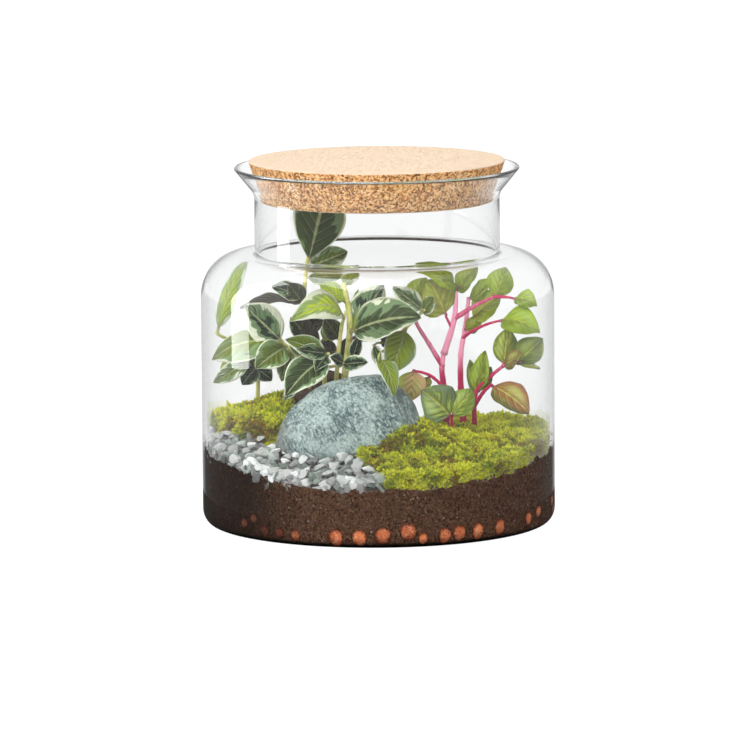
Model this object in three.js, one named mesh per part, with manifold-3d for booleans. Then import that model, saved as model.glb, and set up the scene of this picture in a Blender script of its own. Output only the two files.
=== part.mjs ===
// A planted glass terrarium with a cork lid. Millimetres, +Z up, origin on the table under the jar's axis.
// -Y is the front. The jar holds clay balls, soil, a stone, gravel, moss, a root ball and leafy stems.
import * as THREE from 'three';
import { mergeVertices } from 'three/addons/utils/BufferGeometryUtils.js';
import Module from 'manifold-3d';

const wasm = await Module();
wasm.setup();

// Driving dimensions of the jar
const BODY_RADIUS = 82.5;
const BODY_WALL = 2.1;
const NECK_RADIUS = 57.2;
const NECK_WALL = 1.5;
const RIM_RADIUS = 66.5;
const RIM_HEIGHT = 167;
const FLARE_START = 155;
const SHOULDER_START = 106.5;
const SHOULDER_REACH = 18;
const SHOULDER_RISE = 20;
const FOOT_RADIUS = 77.5;
const FOOT_INNER = 62;
const HEEL_HEIGHT = 7;
const PUNT_HEIGHT = 1;
const FLOOR = 3.2;
const SEGMENTS = 36;

// Driving dimensions of the lid
const LID_TOP = 170;
const LID_BOTTOM = 151;
const LID_TOP_RADIUS = 59.8;
const LID_BOTTOM_RADIUS = 54;
const LID_EDGE = 0.5;

// Driving dimensions of what the jar holds
const GAP = 0.3;
const INSIDE = BODY_RADIUS - BODY_WALL - GAP;
const BALL_RADIUS = 3.9;
const BALL_COUNT = 36;
const BALL_FROM_GLASS = 2.5;
const BALL_CORE = { radius: 72, belly: 74, bellyHeight: 6, top: 9.5 };
const BALL_LAYER_TOP = 11.5;
const SOIL_BACK = 38;
const SOIL_FRONT_DROP = 11;
const SOIL_BACK_DROP = 3.5;
const SOIL_RINGS = [0.25, 0.5, 0.75, 1];
const HEAPS = [
  { x: -46, y: 14, rise: 10, spread: 14 },
  { x: 15, y: -36, rise: 11, spread: 16 },
];
const PEBBLE_SIZE = 4.2;
const PEBBLE_SPACING = 7.4;
const PEBBLE_FROM_EDGE = 3.6;
const PEBBLE_LIFT = 1.7;
const GRAVEL_BED = 2;
const COVER_BOTTOM = 16;
const COVER_TOP = 75;
const MOSS_DEPTH = 6;
const MOSS_TUFT = 1.5;
const MOSS_LEFT_EXTRA = 3;
const MOSS_STEP = 5.4;
const BLADE_THICKNESS = 0.8;
const STEM_SIDES = 5;
const NARROW_LEAF = 16;
const PETIOLE_SHARE = 0.09;
const ROOTED_BELOW = 55;
const LEAF_ROWS = [0, 0.11, 0.3, 0.55, 0.8, 1];

const STONE = { x: -8, y: -27, z: 40, left: 40, right: 30, depth: 21, up: 33.5, down: 13 };
const ROOT_BALL = { x: -24, y: 16, radius: 16.5, bottom: 32, top: 69 };

// A repeatable draw between 0 and 1
function draws(seed) {
  let state = seed;
  return () => {
    state = (state * 1664525 + 1013904223) % 4294967296;
    return state / 4294967296;
  };
}

const vec = (p) => new THREE.Vector3(...p);

// Booleans: a closed geometry becomes a solid, and a solid a geometry
function solid(geometry) {
  const bare = geometry.clone();
  for (const name of Object.keys(bare.attributes)) {
    if (name !== 'position') bare.deleteAttribute(name);
  }
  const welded = mergeVertices(bare, 1e-3);
  const { position } = welded.attributes;
  const corners = [];
  const source = welded.index.array;
  for (let i = 0; i < source.length; i += 3) {
    const [a, b, c] = [source[i], source[i + 1], source[i + 2]];
    if (a !== b && b !== c && c !== a) corners.push(a, b, c);
  }
  if (volumeOf(position, corners) < 0) corners.reverse();
  return new wasm.Manifold(new wasm.Mesh({
    numProp: 3,
    vertProperties: new Float32Array(position.array),
    triVerts: new Uint32Array(corners),
  }));
}

function volumeOf(position, corners) {
  const [a, b, c] = [new THREE.Vector3(), new THREE.Vector3(), new THREE.Vector3()];
  let total = 0;
  for (let i = 0; i < corners.length; i += 3) {
    a.fromBufferAttribute(position, corners[i]);
    b.fromBufferAttribute(position, corners[i + 1]);
    c.fromBufferAttribute(position, corners[i + 2]);
    total += a.dot(b.cross(c));
  }
  return total;
}

function geometryOf(body) {
  const { vertProperties, triVerts } = body.getMesh();
  const geometry = new THREE.BufferGeometry();
  geometry.setAttribute('position', new THREE.BufferAttribute(vertProperties, 3));
  geometry.setIndex(new THREE.BufferAttribute(triVerts, 1));
  geometry.computeVertexNormals();
  return geometry;
}

const joined = (bodies) => bodies.reduce((sum, body) => sum.add(body));
const without = (body, cutters) => cutters.reduce((left, cutter) => left.subtract(cutter), body);

// Round pieces turned about the jar's axis, from [radius, height] points
function turned(profile, segments = SEGMENTS) {
  const points = profile.map(([radius, height]) => new THREE.Vector2(radius, height));
  return new THREE.LatheGeometry(points, segments).rotateX(Math.PI / 2);
}

// A quarter of an ellipse between two angles, in degrees, as [radius, height] points
function bend(cx, cz, rx, rz, from, to, steps) {
  return Array.from({ length: steps + 1 }, (_, i) => {
    const angle = THREE.MathUtils.degToRad(from + ((to - from) * i) / steps);
    return [cx + rx * Math.cos(angle), cz + rz * Math.sin(angle)];
  });
}

function jarProfile() {
  const corner = BODY_RADIUS - SHOULDER_REACH;
  const top = SHOULDER_START + SHOULDER_RISE;
  const fillet = 3.5;
  const inside = BODY_RADIUS - BODY_WALL;
  const innerNeck = NECK_RADIUS - NECK_WALL;
  const innerHeel = inside - 5;
  const bead = 1;
  const outer = [
    [0, PUNT_HEIGHT],
    [FOOT_INNER - 4, PUNT_HEIGHT],
    [FOOT_INNER, 0],
    ...bend(FOOT_RADIUS, HEEL_HEIGHT, BODY_RADIUS - FOOT_RADIUS, HEEL_HEIGHT, -90, 0, 3),
    ...bend(corner, SHOULDER_START, SHOULDER_REACH, SHOULDER_RISE, 0, 90, 4),
    ...bend(NECK_RADIUS + fillet, top + fillet, fillet, fillet, 270, 180, 1),
    [NECK_RADIUS, FLARE_START],
    [RIM_RADIUS - bead, RIM_HEIGHT - 2.2],
    [RIM_RADIUS, RIM_HEIGHT - bead],
    [RIM_RADIUS - 0.7, RIM_HEIGHT],
  ];
  const inner = [
    [RIM_RADIUS - 2.2, RIM_HEIGHT - 0.5],
    [innerNeck, FLARE_START + 1],
    ...bend(NECK_RADIUS + fillet, top + fillet, fillet + NECK_WALL, fillet + BODY_WALL, 180, 270, 1),
    ...bend(corner, SHOULDER_START, SHOULDER_REACH - BODY_WALL, SHOULDER_RISE - BODY_WALL, 90, 0, 4),
    ...bend(innerHeel, FLOOR + HEEL_HEIGHT, inside - innerHeel, HEEL_HEIGHT, 0, -90, 2),
    [0, FLOOR],
  ];
  return [...outer, ...inner];
}

function lidProfile() {
  return [
    [0, LID_BOTTOM],
    [LID_BOTTOM_RADIUS - LID_EDGE, LID_BOTTOM],
    [LID_BOTTOM_RADIUS, LID_BOTTOM + LID_EDGE],
    [LID_TOP_RADIUS, LID_TOP - LID_EDGE],
    [LID_TOP_RADIUS - LID_EDGE, LID_TOP],
    [0, LID_TOP],
  ];
}

// The soil's surface: low at the front glass, a little lower again at the back, heaped up in two places
function soilHeight(x, y) {
  const front = SOIL_FRONT_DROP * Math.pow(Math.max(0, -y) / 80, 1.3);
  const back = SOIL_BACK_DROP * Math.pow(Math.max(0, y) / 80, 1.5);
  const heaped = HEAPS.reduce((sum, heap) => {
    const far = (x - heap.x) ** 2 + (y - heap.y) ** 2;
    return sum + heap.rise * Math.exp(-far / (2 * heap.spread ** 2));
  }, 0);
  return SOIL_BACK - front - back + heaped;
}

function bump(x, y) {
  return 0.5 * Math.sin(0.31 * x + 1.7) * Math.cos(0.27 * y) + 0.5 * Math.sin(0.17 * x - 0.23 * y);
}

// A round body from a flat bottom up to a surface given by height(x, y); a margin widens it past its edge
function filled(bottom, height, margin = 0) {
  const segments = SEGMENTS;
  const radii = SOIL_RINGS.map((share) => INSIDE * share);
  if (margin) radii.push(INSIDE + margin);
  const rings = radii.length;
  const points = [0, 0, bottom, 0, 0, height(0, 0)];
  const faces = [];
  const at = (ring, segment, level) => 2 + 2 * ((ring - 1) * segments + (segment % segments)) + level;
  for (const radius of radii) {
    const known = Math.min(radius, INSIDE) / radius;
    for (let segment = 0; segment < segments; segment += 1) {
      const angle = (2 * Math.PI * segment) / segments;
      const [x, y] = [radius * Math.cos(angle), radius * Math.sin(angle)];
      points.push(x, y, bottom, x, y, height(known * x, known * y));
    }
  }
  for (let segment = 0; segment < segments; segment += 1) {
    const next = segment + 1;
    faces.push(1, at(1, segment, 1), at(1, next, 1));
    faces.push(0, at(1, next, 0), at(1, segment, 0));
    for (let ring = 1; ring < rings; ring += 1) {
      const [a, b] = [at(ring, segment, 1), at(ring, next, 1)];
      const [c, d] = [at(ring + 1, segment, 1), at(ring + 1, next, 1)];
      faces.push(a, c, d, a, d, b);
      faces.push(a - 1, d - 1, c - 1, a - 1, b - 1, d - 1);
    }
    const [low, high] = [at(rings, segment, 0), at(rings, segment, 1)];
    const [lowNext, highNext] = [at(rings, next, 0), at(rings, next, 1)];
    faces.push(low, lowNext, highNext, low, highNext, high);
  }
  const geometry = new THREE.BufferGeometry();
  geometry.setAttribute('position', new THREE.Float32BufferAttribute(points, 3));
  geometry.setIndex(faces);
  return geometry;
}

// An upright block over an outline of [x, y] points
function block(outline, bottom, top) {
  const shape = new THREE.Shape(outline.map(([x, y]) => new THREE.Vector2(x, y)));
  const geometry = new THREE.ExtrudeGeometry(shape, { depth: top - bottom, bevelEnabled: false });
  return geometry.translate(0, 0, bottom);
}

// A boulder worn smooth, steeper at its right end; grow moves its whole surface out
function stoneGeometry(grow = 0) {
  const geometry = new THREE.IcosahedronGeometry(1, 3);
  const { position } = geometry.attributes;
  const point = new THREE.Vector3();
  for (let i = 0; i < position.count; i += 1) {
    point.fromBufferAttribute(position, i);
    const reach = point.x < 0 ? STONE.left : STONE.right;
    const rise = point.z < 0 ? STONE.down : STONE.up;
    const worn = 1 - 0.05 * Math.max(0, -point.x) * Math.max(0, point.z) * 2;
    const lump = 1 + 0.015 * Math.sin(5 * point.x + 2) * Math.cos(4 * point.y + 3 * point.z);
    const x = STONE.x + point.x * (reach * worn * lump + grow);
    const y = STONE.y + point.y * (STONE.depth * lump + grow);
    position.setXYZ(i, x, y, STONE.z + point.z * (rise * worn * lump + grow));
  }
  return geometry;
}

// The root ball of the tall plants, a nursery plug set into the soil behind the stone
function rootBallGeometry(grow = 0) {
  const { radius, bottom, top } = ROOT_BALL;
  const profile = [
    [0, bottom - grow],
    [0.8 * radius + grow, bottom - grow],
    [0.95 * radius + grow, bottom + 14],
    [radius + grow, top - 9],
    [0.7 * radius, top - 2 + grow],
    [0, top + grow],
  ];
  return turned(profile, 16).translate(ROOT_BALL.x, ROOT_BALL.y, 0);
}

// A rounded lump with few faces, turned at random
function pebble(centre, size, draw) {
  const turn = new THREE.Euler(6.3 * draw(), 6.3 * draw(), 6.3 * draw());
  return new THREE.IcosahedronGeometry(1)
    .scale(...size)
    .applyMatrix4(new THREE.Matrix4().makeRotationFromEuler(turn))
    .translate(...centre);
}

function clayBalls() {
  const draw = draws(11);
  const { radius: inner, belly, bellyHeight, top } = BALL_CORE;
  const bottom = FLOOR + GAP;
  const profile = [[0, bottom], [inner, bottom], [belly, bellyHeight], [inner + 1, top - 0.5], [0, top]];
  const bodies = [solid(turned(profile, 30))];
  for (let i = 0; i < BALL_COUNT; i += 1) {
    const angle = (2 * Math.PI * (i + 0.25 * draw())) / BALL_COUNT;
    const radius = BALL_RADIUS * (0.78 + 0.2 * draw());
    const reach = INSIDE - BALL_FROM_GLASS - radius;
    const centre = [reach * Math.cos(angle), reach * Math.sin(angle), bottom + radius];
    bodies.push(solid(pebble(centre, [radius, radius, radius], draw)));
  }
  return joined(bodies);
}

// Outlines of the planted areas, seen from above, counter-clockwise
const GLASS_ARC = (from, to, radius = INSIDE - 0.4, steps = 14) =>
  bend(0, 0, radius, radius, from, to, steps);
const gravelOutline = (radius) => [
  ...GLASS_ARC(176, 271, radius, 16),
  [-1, -66], [-11, -54], [-20, -46], [-36, -40], [-45, -24], [-50, -17], [-60, -9],
];
const MOSS_RIGHT_OUTLINE = [
  ...GLASS_ARC(273, 385, INSIDE - 0.4, 18),
  [64, 42], [44, 45], [24, 38], [15, 22], [19, -2], [24, -20], [10, -36], [-9, -50], [0, -66],
];
const MOSS_LEFT_OUTLINE = [
  ...GLASS_ARC(152, 173, INSIDE - 0.4, 4),
  [-60, -8], [-50, -16], [-45, -14], [-43, 6], [-42, 22], [-45, 34], [-56, 36],
];

function inOutline(outline, x, y, margin) {
  let inside = false;
  let nearest = Infinity;
  outline.forEach(([ax, ay], i) => {
    const [bx, by] = outline[(i + 1) % outline.length];
    if (ay > y !== by > y && x < ((bx - ax) * (y - ay)) / (by - ay) + ax) inside = !inside;
    const along = ((x - ax) * (bx - ax) + (y - ay) * (by - ay)) / ((bx - ax) ** 2 + (by - ay) ** 2);
    const t = Math.min(1, Math.max(0, along));
    nearest = Math.min(nearest, Math.hypot(x - ax - t * (bx - ax), y - ay - t * (by - ay)));
  });
  return inside && nearest >= margin;
}

// Gravel: a bed that follows the soil, with pebbles sunk into it
function gravel(soilCut) {
  const draw = draws(5);
  const bed = solid(filled(COVER_BOTTOM, (x, y) => soilHeight(x, y) + GRAVEL_BED))
    .intersect(solid(block(gravelOutline(INSIDE), COVER_BOTTOM, COVER_TOP)));
  const bodies = [bed];
  const across = Math.ceil(INSIDE / PEBBLE_SPACING);
  for (let row = 0; row <= across; row += 1) {
    for (let column = 0; column <= across; column += 1) {
      const x = -INSIDE + PEBBLE_SPACING * (column + 0.5 * (row % 2) + 0.3 * draw());
      const y = -INSIDE + PEBBLE_SPACING * (0.9 * row + 0.3 * draw());
      const size = [PEBBLE_SIZE * (0.9 + 0.4 * draw()), PEBBLE_SIZE, PEBBLE_SIZE * (0.65 + 0.2 * draw())];
      const lift = PEBBLE_LIFT + 1.2 * draw();
      if (!inOutline(gravelOutline(INSIDE + 2), x, y, PEBBLE_FROM_EDGE)) continue;
      bodies.push(solid(pebble([x, y, soilHeight(x, y) + lift], size, draw)));
    }
  }
  const inJar = turned([[0, 0], [INSIDE, 0], [INSIDE, COVER_TOP], [0, COVER_TOP]]);
  return joined(bodies).intersect(solid(inJar)).subtract(soilCut);
}

// Moss: a cushion over an outline, its top drawn up into tufts, every second point of the net a tip
function moss(outline, depth, soilCut) {
  const side = 2 * INSIDE;
  const count = Math.ceil(side / MOSS_STEP);
  const net = new THREE.PlaneGeometry(side, side, count, count);
  const { position } = net.attributes;
  const draw = draws(23);
  const points = [];
  for (let i = 0; i < position.count; i += 1) {
    const [x, y] = [position.getX(i), position.getY(i)];
    const tip = ((i % (count + 1)) + Math.floor(i / (count + 1))) % 2;
    const tuft = tip ? MOSS_TUFT * (0.5 + draw()) : -0.5 * MOSS_TUFT * draw();
    points.push(x, y, soilHeight(x, y) + depth + bump(x, y) + tuft);
  }
  const top = points.length / 3;
  for (let i = 0; i < top; i += 1) points.push(points[3 * i], points[3 * i + 1], COVER_BOTTOM - 1);
  const faces = [];
  const row = count + 1;
  for (let j = 0; j < count; j += 1) {
    for (let i = 0; i < count; i += 1) {
      const [a, b, c, d] = [j * row + i, j * row + i + 1, (j + 1) * row + i, (j + 1) * row + i + 1];
      const flip = (i + j) % 2;
      if (flip) faces.push(a, c, b, b, c, d);
      else faces.push(a, d, b, a, c, d);
      if (flip) faces.push(top + a, top + b, top + c, top + b, top + d, top + c);
      else faces.push(top + a, top + b, top + d, top + a, top + d, top + c);
    }
  }
  const edge = [];
  for (let i = 0; i < count; i += 1) edge.push([i, i + 1]);
  for (let j = 0; j < count; j += 1) edge.push([j * row + count, (j + 1) * row + count]);
  for (let i = count; i > 0; i -= 1) edge.push([count * row + i, count * row + i - 1]);
  for (let j = count; j > 0; j -= 1) edge.push([j * row, (j - 1) * row]);
  for (const [a, b] of edge) faces.push(a, b, top + b, a, top + b, top + a);
  const geometry = new THREE.BufferGeometry();
  geometry.setAttribute('position', new THREE.Float32BufferAttribute(points, 3));
  geometry.setIndex(faces);
  return solid(geometry).intersect(solid(block(outline, COVER_BOTTOM, COVER_TOP))).subtract(soilCut);
}

// A stem along a smooth line through its points; grow widens it, for the hole it stands in
function stem({ radius, path }, grow = 0) {
  const curve = new THREE.CatmullRomCurve3(path.map(vec));
  const ring = Array.from({ length: STEM_SIDES }, (_, i) => {
    const angle = (2 * Math.PI * i) / STEM_SIDES;
    return new THREE.Vector2((radius + grow) * Math.cos(angle), (radius + grow) * Math.sin(angle));
  });
  const steps = Math.round(1.25 * (path.length - 1));
  const options = { steps, extrudePath: curve, bevelEnabled: false };
  return new THREE.ExtrudeGeometry(new THREE.Shape(ring), options);
}

// How wide a leaf is along its length: nothing on its petiole, 1 at its widest place near the middle
function leafWidth(along) {
  const t = Math.max(0, (along - PETIOLE_SHARE) / (1 - PETIOLE_SHARE));
  return (t ** 0.62 * (1 - t) ** 0.85) / (0.42 ** 0.62 * 0.58 ** 0.85);
}

// A leaf blade from base to tip: face is the way its upper side looks, arch lifts its middle by a share
// of its length, fold lifts its margins by a share of its width and wave ripples them
function leaf({ base, tip, width, face, arch = 0, fold = 0.15, wave = 0.04 }) {
  const [start, end] = [vec(base), vec(tip)];
  const along = end.clone().sub(start);
  const length = along.length();
  const ahead = along.clone().normalize();
  const across = ahead.clone().cross(vec(face)).normalize();
  const up = across.clone().cross(ahead).normalize();
  const rows = LEAF_ROWS.length - 1;
  const columns = width < NARROW_LEAF ? 2 : 4;
  const points = [];
  for (const level of [0.5, -0.5]) {
    for (let row = 0; row <= rows; row += 1) {
      const t = LEAF_ROWS[row];
      const half = 0.5 * (width * leafWidth(t) + 1.2 * (1 - t) + 0.5);
      for (let column = 0; column <= columns; column += 1) {
        const v = (2 * column) / columns - 1;
        const ripple = wave * width * v * Math.sin(9 * t + 2 * v);
        const lift = 4 * arch * length * t * (1 - t) + fold * half * Math.abs(v) + ripple;
        const point = start.clone().addScaledVector(along, t).addScaledVector(across, half * v);
        point.addScaledVector(up, lift + level * BLADE_THICKNESS);
        points.push(...point.toArray());
      }
    }
  }
  const faces = [];
  const span = columns + 1;
  const under = (rows + 1) * span;
  for (let row = 0; row < rows; row += 1) {
    for (let column = 0; column < columns; column += 1) {
      const a = row * span + column;
      const [b, c, d] = [a + 1, a + span, a + span + 1];
      faces.push(a, b, d, a, d, c, under + a, under + d, under + b, under + a, under + c, under + d);
    }
  }
  const rim = [];
  for (let column = 0; column < columns; column += 1) rim.push(column);
  for (let row = 0; row < rows; row += 1) rim.push(row * span + columns);
  for (let column = columns; column > 0; column -= 1) rim.push(rows * span + column);
  for (let row = rows; row > 0; row -= 1) rim.push(row * span);
  rim.forEach((a, i) => {
    const b = rim[(i + 1) % rim.length];
    faces.push(b, a, under + a, b, under + a, under + b);
  });
  const geometry = new THREE.BufferGeometry();
  geometry.setAttribute('position', new THREE.Float32BufferAttribute(points, 3));
  geometry.setIndex(faces);
  return geometry;
}

const FRONT = [0, -0.9, 0.45];
const UPRIGHT = [0, -0.97, 0.2];
const SLOPED = [0, -0.75, 0.65];
const FLAT = [0, -0.15, 1];
const UPRIGHT_LEFT = [-0.5, -0.8, 0.3];

// The leafy stems, each a plant's stems and petioles with the leaves on them
const SHOOTS = [
  {
    name: 'marbled_stem_tall',
    colour: 0x2f5a3a,
    stems: [
      { radius: 1.4, path: [[-30, 16, 46], [-33, 18, 74], [-35, 21, 96], [-34, 24, 110], [-33, 26, 121]] },
      { radius: 0.9, path: [[-34, 19, 80], [-29, 16, 82], [-25, 14, 83]] },
    ],
    leaves: [
      { base: [-33, 26, 118], tip: [-25, 33, 148], width: 25, face: [0.1, -0.95, 0.3], fold: 0.2 },
      { base: [-33, 27, 116], tip: [-14, 31, 123], width: 13, face: FRONT },
      { base: [-34, 25, 110], tip: [-13, 18, 114], width: 12, face: SLOPED },
      { base: [-35, 22, 102], tip: [-50, 18, 107], width: 9, face: SLOPED },
      { base: [-35, 21, 99], tip: [-65, 8, 99], width: 14, face: FLAT, arch: 0.06 },
      { base: [-26, 14.5, 83], tip: [-19, 12, 92], width: 8, face: FRONT },
    ],
  },
  {
    name: 'marbled_stem_middle',
    colour: 0x3f7a44,
    stems: [
      { radius: 1.8, path: [[-18, 10, 48], [-15, 7, 72], [-13, 4, 92], [-15, 2, 106], [-16, 2, 111]] },
      { radius: 1.2, path: [[-21, 9, 50], [-19, 5, 73], [-17, 2.5, 91], [-14.8, 2.2, 98]] },
    ],
    leaves: [
      { base: [-16, 2, 95], tip: [-41, -12, 96], width: 15, face: SLOPED, arch: 0.36 },
      { base: [-15, 2, 102], tip: [-27, 5, 110], width: 9, face: [-0.3, -0.7, 0.6], arch: 0.1 },
      { base: [-16, 2, 109], tip: [-9, 4, 120], width: 7, face: UPRIGHT },
      { base: [-13, 4, 88], tip: [-9, 7, 107], width: 6, face: [-0.6, -0.7, 0.2] },
      { base: [-13, 4, 89], tip: [3, 6, 109], width: 15, face: [0.2, -0.9, 0.3], fold: 0.2 },
      { base: [-13, 3, 88], tip: [20, -10, 97], width: 21, face: [0.1, -0.78, 0.62], arch: 0.12, fold: 0.2 },
      { base: [-13, 4, 85], tip: [0, 5, 87], width: 10, face: FLAT },
    ],
  },
  {
    name: 'marbled_stem_right',
    colour: 0x4c7d46,
    stems: [
      { radius: 1.2, path: [[0, 14, 24], [2, 11, 50], [4, 8, 66], [5, 5, 80], [6, 4, 85]] },
      { radius: 0.9, path: [[6, 4, 84], [13, 4, 90], [18, 2, 95], [22, -2, 99]] },
      { radius: 0.7, path: [[5, 5, 80], [1, -6, 80], [0, -14, 77.5]] },
      { radius: 0.7, path: [[5, 4, 83], [0, -1, 84], [-2, -4, 83]] },
    ],
    leaves: [
      { base: [21.5, -2, 98.5], tip: [7, 0, 109], width: 9, face: [0.2, -0.8, 0.55] },
      { base: [13, 4, 90], tip: [5, -6, 70], width: 15, face: [0.3, -0.85, 0.35], arch: 0.12 },
      { base: [6, 4, 84], tip: [16, -2, 79], width: 8, face: FRONT, arch: 0.1 },
      { base: [-2, -3, 83.5], tip: [2, -9, 73], width: 5, face: [-0.5, -0.8, 0.2] },
      { base: [0, -13, 77.5], tip: [7, -46, 65], width: 9, face: [0.2, -0.5, 0.85], arch: 0.14 },
    ],
  },
  {
    name: 'marbled_stem_left',
    colour: 0x44734a,
    stems: [
      { radius: 1.1, path: [[-31, 9, 50], [-33, 5, 70], [-38, 2, 78], [-44, 0, 84], [-45, 0, 85]] },
    ],
    leaves: [
      { base: [-44.5, 0, 84.5], tip: [-62, -3, 102], width: 17, face: [0.1, -0.9, 0.4], fold: 0.2 },
      { base: [-44, 0, 84], tip: [-78, 2, 76], width: 17, face: SLOPED, arch: 0.24, fold: -0.2 },
      { base: [-43.5, 0, 83.5], tip: [-62, -9, 80], width: 8, face: SLOPED },
      { base: [-42.5, 0.5, 82.5], tip: [-57, -13, 74], width: 14, face: FRONT, arch: 0.1 },
      { base: [-41.5, 1, 81.5], tip: [-45, -7, 67], width: 8, face: FRONT, arch: 0.1 },
    ],
  },
  {
    name: 'marbled_stem_low',
    colour: 0x3a6b45,
    stems: [
      { radius: 1.2, path: [[-25, 8, 48], [-25, 3, 70], [-24, -3, 77], [-23, -6, 80]] },
      { radius: 0.8, path: [[-25, 1, 72], [-18, -2, 74], [-16, -5, 75]] },
    ],
    leaves: [
      { base: [-24, -4, 78], tip: [-43, -9, 87], width: 10, face: FRONT, arch: 0.14 },
      { base: [-23, -5, 79.5], tip: [-37, -14, 83], width: 7, face: FRONT },
      { base: [-24, -3, 77], tip: [-43, -20, 62], width: 17, face: [-0.2, -0.85, 0.5], arch: 0.14 },
      { base: [-24, -4, 77.5], tip: [-29, -16, 73.5], width: 7, face: SLOPED, arch: 0.1 },
      { base: [-16, -4, 75], tip: [-22, -11, 79], width: 6, face: FRONT },
      { base: [-17, -4, 74.5], tip: [-5, -11, 76.5], width: 7, face: FRONT },
    ],
  },
  {
    name: 'marbled_stem_back_left',
    colour: 0x5d8a3a,
    stems: [
      {
        radius: 1.1,
        path: [[-56, 16, 30], [-57, 15, 50], [-57, 14, 70], [-63, 13, 80], [-75, 9, 87], [-76, 9, 89]],
      },
    ],
    leaves: [
      { base: [-75.5, 9, 88], tip: [-61, 14, 121], width: 10, face: UPRIGHT_LEFT, arch: 0.1, fold: -0.2 },
      { base: [-57, 14, 71], tip: [-64, 10, 63], width: 9, face: FRONT, arch: 0.1 },
      { base: [-57, 14, 70], tip: [-50, 11, 65], width: 8, face: FRONT, arch: 0.1 },
      { base: [-57, 14, 69], tip: [-58, 22, 78], width: 8, face: FRONT },
    ],
  },
  {
    name: 'pink_stem_left',
    colour: 0xd8467c,
    stems: [
      { radius: 1.9, path: [[33, 15, 26], [32, 14, 46], [31, 12, 60], [30, 10, 70], [31, 10, 78]] },
      { radius: 1.6, path: [[31, 10, 77], [36, 8, 94], [37, 10, 107]] },
      { radius: 1.2, path: [[30.5, 10, 71], [24, 9, 82], [18, 10, 92], [16, 12, 100]] },
      { radius: 0.8, path: [[35, 8, 89], [33, 8, 93], [31.5, 8, 96]] },
      { radius: 1.1, path: [[36, 8, 94], [46, 4, 100], [55, 0, 104.5]] },
      { radius: 0.8, path: [[54, 0, 104.2], [60, -2, 104.5], [64, -3, 104]] },
    ],
    leaves: [
      { base: [16, 12, 99], tip: [23, 12, 112], width: 11, face: FRONT },
      { base: [32, 8, 95], tip: [23.5, 6, 111], width: 17, face: [0.1, -0.85, 0.5], arch: 0.08 },
      { base: [37, 10, 106], tip: [18, 9, 120], width: 13, face: [-0.2, -0.5, 0.85], arch: 0.08 },
      { base: [37, 10, 106], tip: [47, 12, 119], width: 9, face: [0.1, -0.6, 0.8] },
      { base: [37, 10, 105.5], tip: [44, 9, 110], width: 6, face: SLOPED },
      { base: [55, 0, 104], tip: [60, 3, 117.5], width: 12, face: UPRIGHT, fold: 0.25 },
      { base: [63.5, -3, 104], tip: [74, -8, 102], width: 10, face: [0, -0.6, 0.8], arch: 0.12 },
    ],
  },
  {
    name: 'pink_stem_middle',
    colour: 0xa82d58,
    stems: [
      {
        radius: 1.7,
        path: [[41, 19, 26], [40, 18, 46], [39, 16, 60], [39, 14, 76], [41, 14, 88], [43, 14, 102]],
      },
      { radius: 0.9, path: [[40, 14, 84], [44, 7, 88], [51, 2, 92], [57.5, -3, 94.5]] },
      { radius: 0.8, path: [[41, 14, 89], [43, 13, 92], [45, 12, 94]] },
    ],
    leaves: [
      { base: [43, 14, 101], tip: [54, 10, 110], width: 10, face: [0, -0.5, 0.85] },
      { base: [44, 12.5, 93], tip: [58, 8, 104], width: 14, face: SLOPED, arch: 0.08 },
      { base: [57, -2.8, 94.4], tip: [75, -13, 90], width: 15, face: SLOPED, arch: 0.2 },
    ],
  },
  {
    name: 'pink_stem_right',
    colour: 0xb8305f,
    stems: [
      { radius: 1.3, path: [[45, 6, 26], [45, 5, 46], [46, 3, 60], [53, 0, 68], [59, -3, 73.5]] },
      { radius: 0.9, path: [[58, -2.5, 72.8], [62, -4, 74], [66, -5, 75]] },
      { radius: 1.1, path: [[45.5, 4, 54], [49, 0, 60], [53, -4, 64.5]] },
    ],
    leaves: [
      { base: [58.5, -2.5, 73], tip: [61, 4, 90], width: 11, face: UPRIGHT, fold: 0.25 },
      { base: [65, -5, 74.8], tip: [77, -4, 86], width: 13, face: [-0.1, -0.85, 0.5] },
      { base: [59, -3, 73], tip: [67, -11, 80], width: 9, face: SLOPED },
      { base: [65, -5, 74.5], tip: [75, -13, 73], width: 6, face: FLAT },
      { base: [52.5, -3.5, 64], tip: [70, -13, 52], width: 15, face: [0.3, -0.8, 0.5], arch: 0.1 },
      { base: [46, 3, 59], tip: [50, -1, 80], width: 8, face: [-0.2, -0.95, 0.1], fold: 0.3 },
      { base: [46, 3.5, 58], tip: [43, 5, 75], width: 6, face: [0.4, -0.9, 0.1] },
    ],
  },
  {
    name: 'pink_stem_front',
    colour: 0xc24f7c,
    stems: [
      {
        radius: 1,
        path: [[33, 4, 24], [32.5, 3.5, 44], [31, 2.5, 60], [26, 1.5, 67], [20, 0, 70], [16, -2, 70.5]],
      },
    ],
    leaves: [
      { base: [17, -1.5, 70.5], tip: [15, -4, 57], width: 13, face: [-0.2, -0.95, 0.2], arch: 0.08 },
    ],
  },
  {
    name: 'pink_stem_seedling',
    colour: 0x4f8a3c,
    stems: [
      { radius: 1, path: [[34.5, -9, 24], [34.5, -9.5, 42], [34, -12, 51]] },
    ],
    leaves: [
      { base: [34, -11.8, 50.5], tip: [21, -17, 63], width: 17, face: FRONT, arch: 0.05 },
      { base: [34, -11.8, 50.5], tip: [44, -9, 63], width: 12, face: FRONT, arch: 0.05 },
    ],
  },
];

function shootSolid({ stems, leaves }) {
  return joined([...stems.map((s) => solid(stem(s))), ...leaves.map((l) => solid(leaf(l)))]);
}

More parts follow.
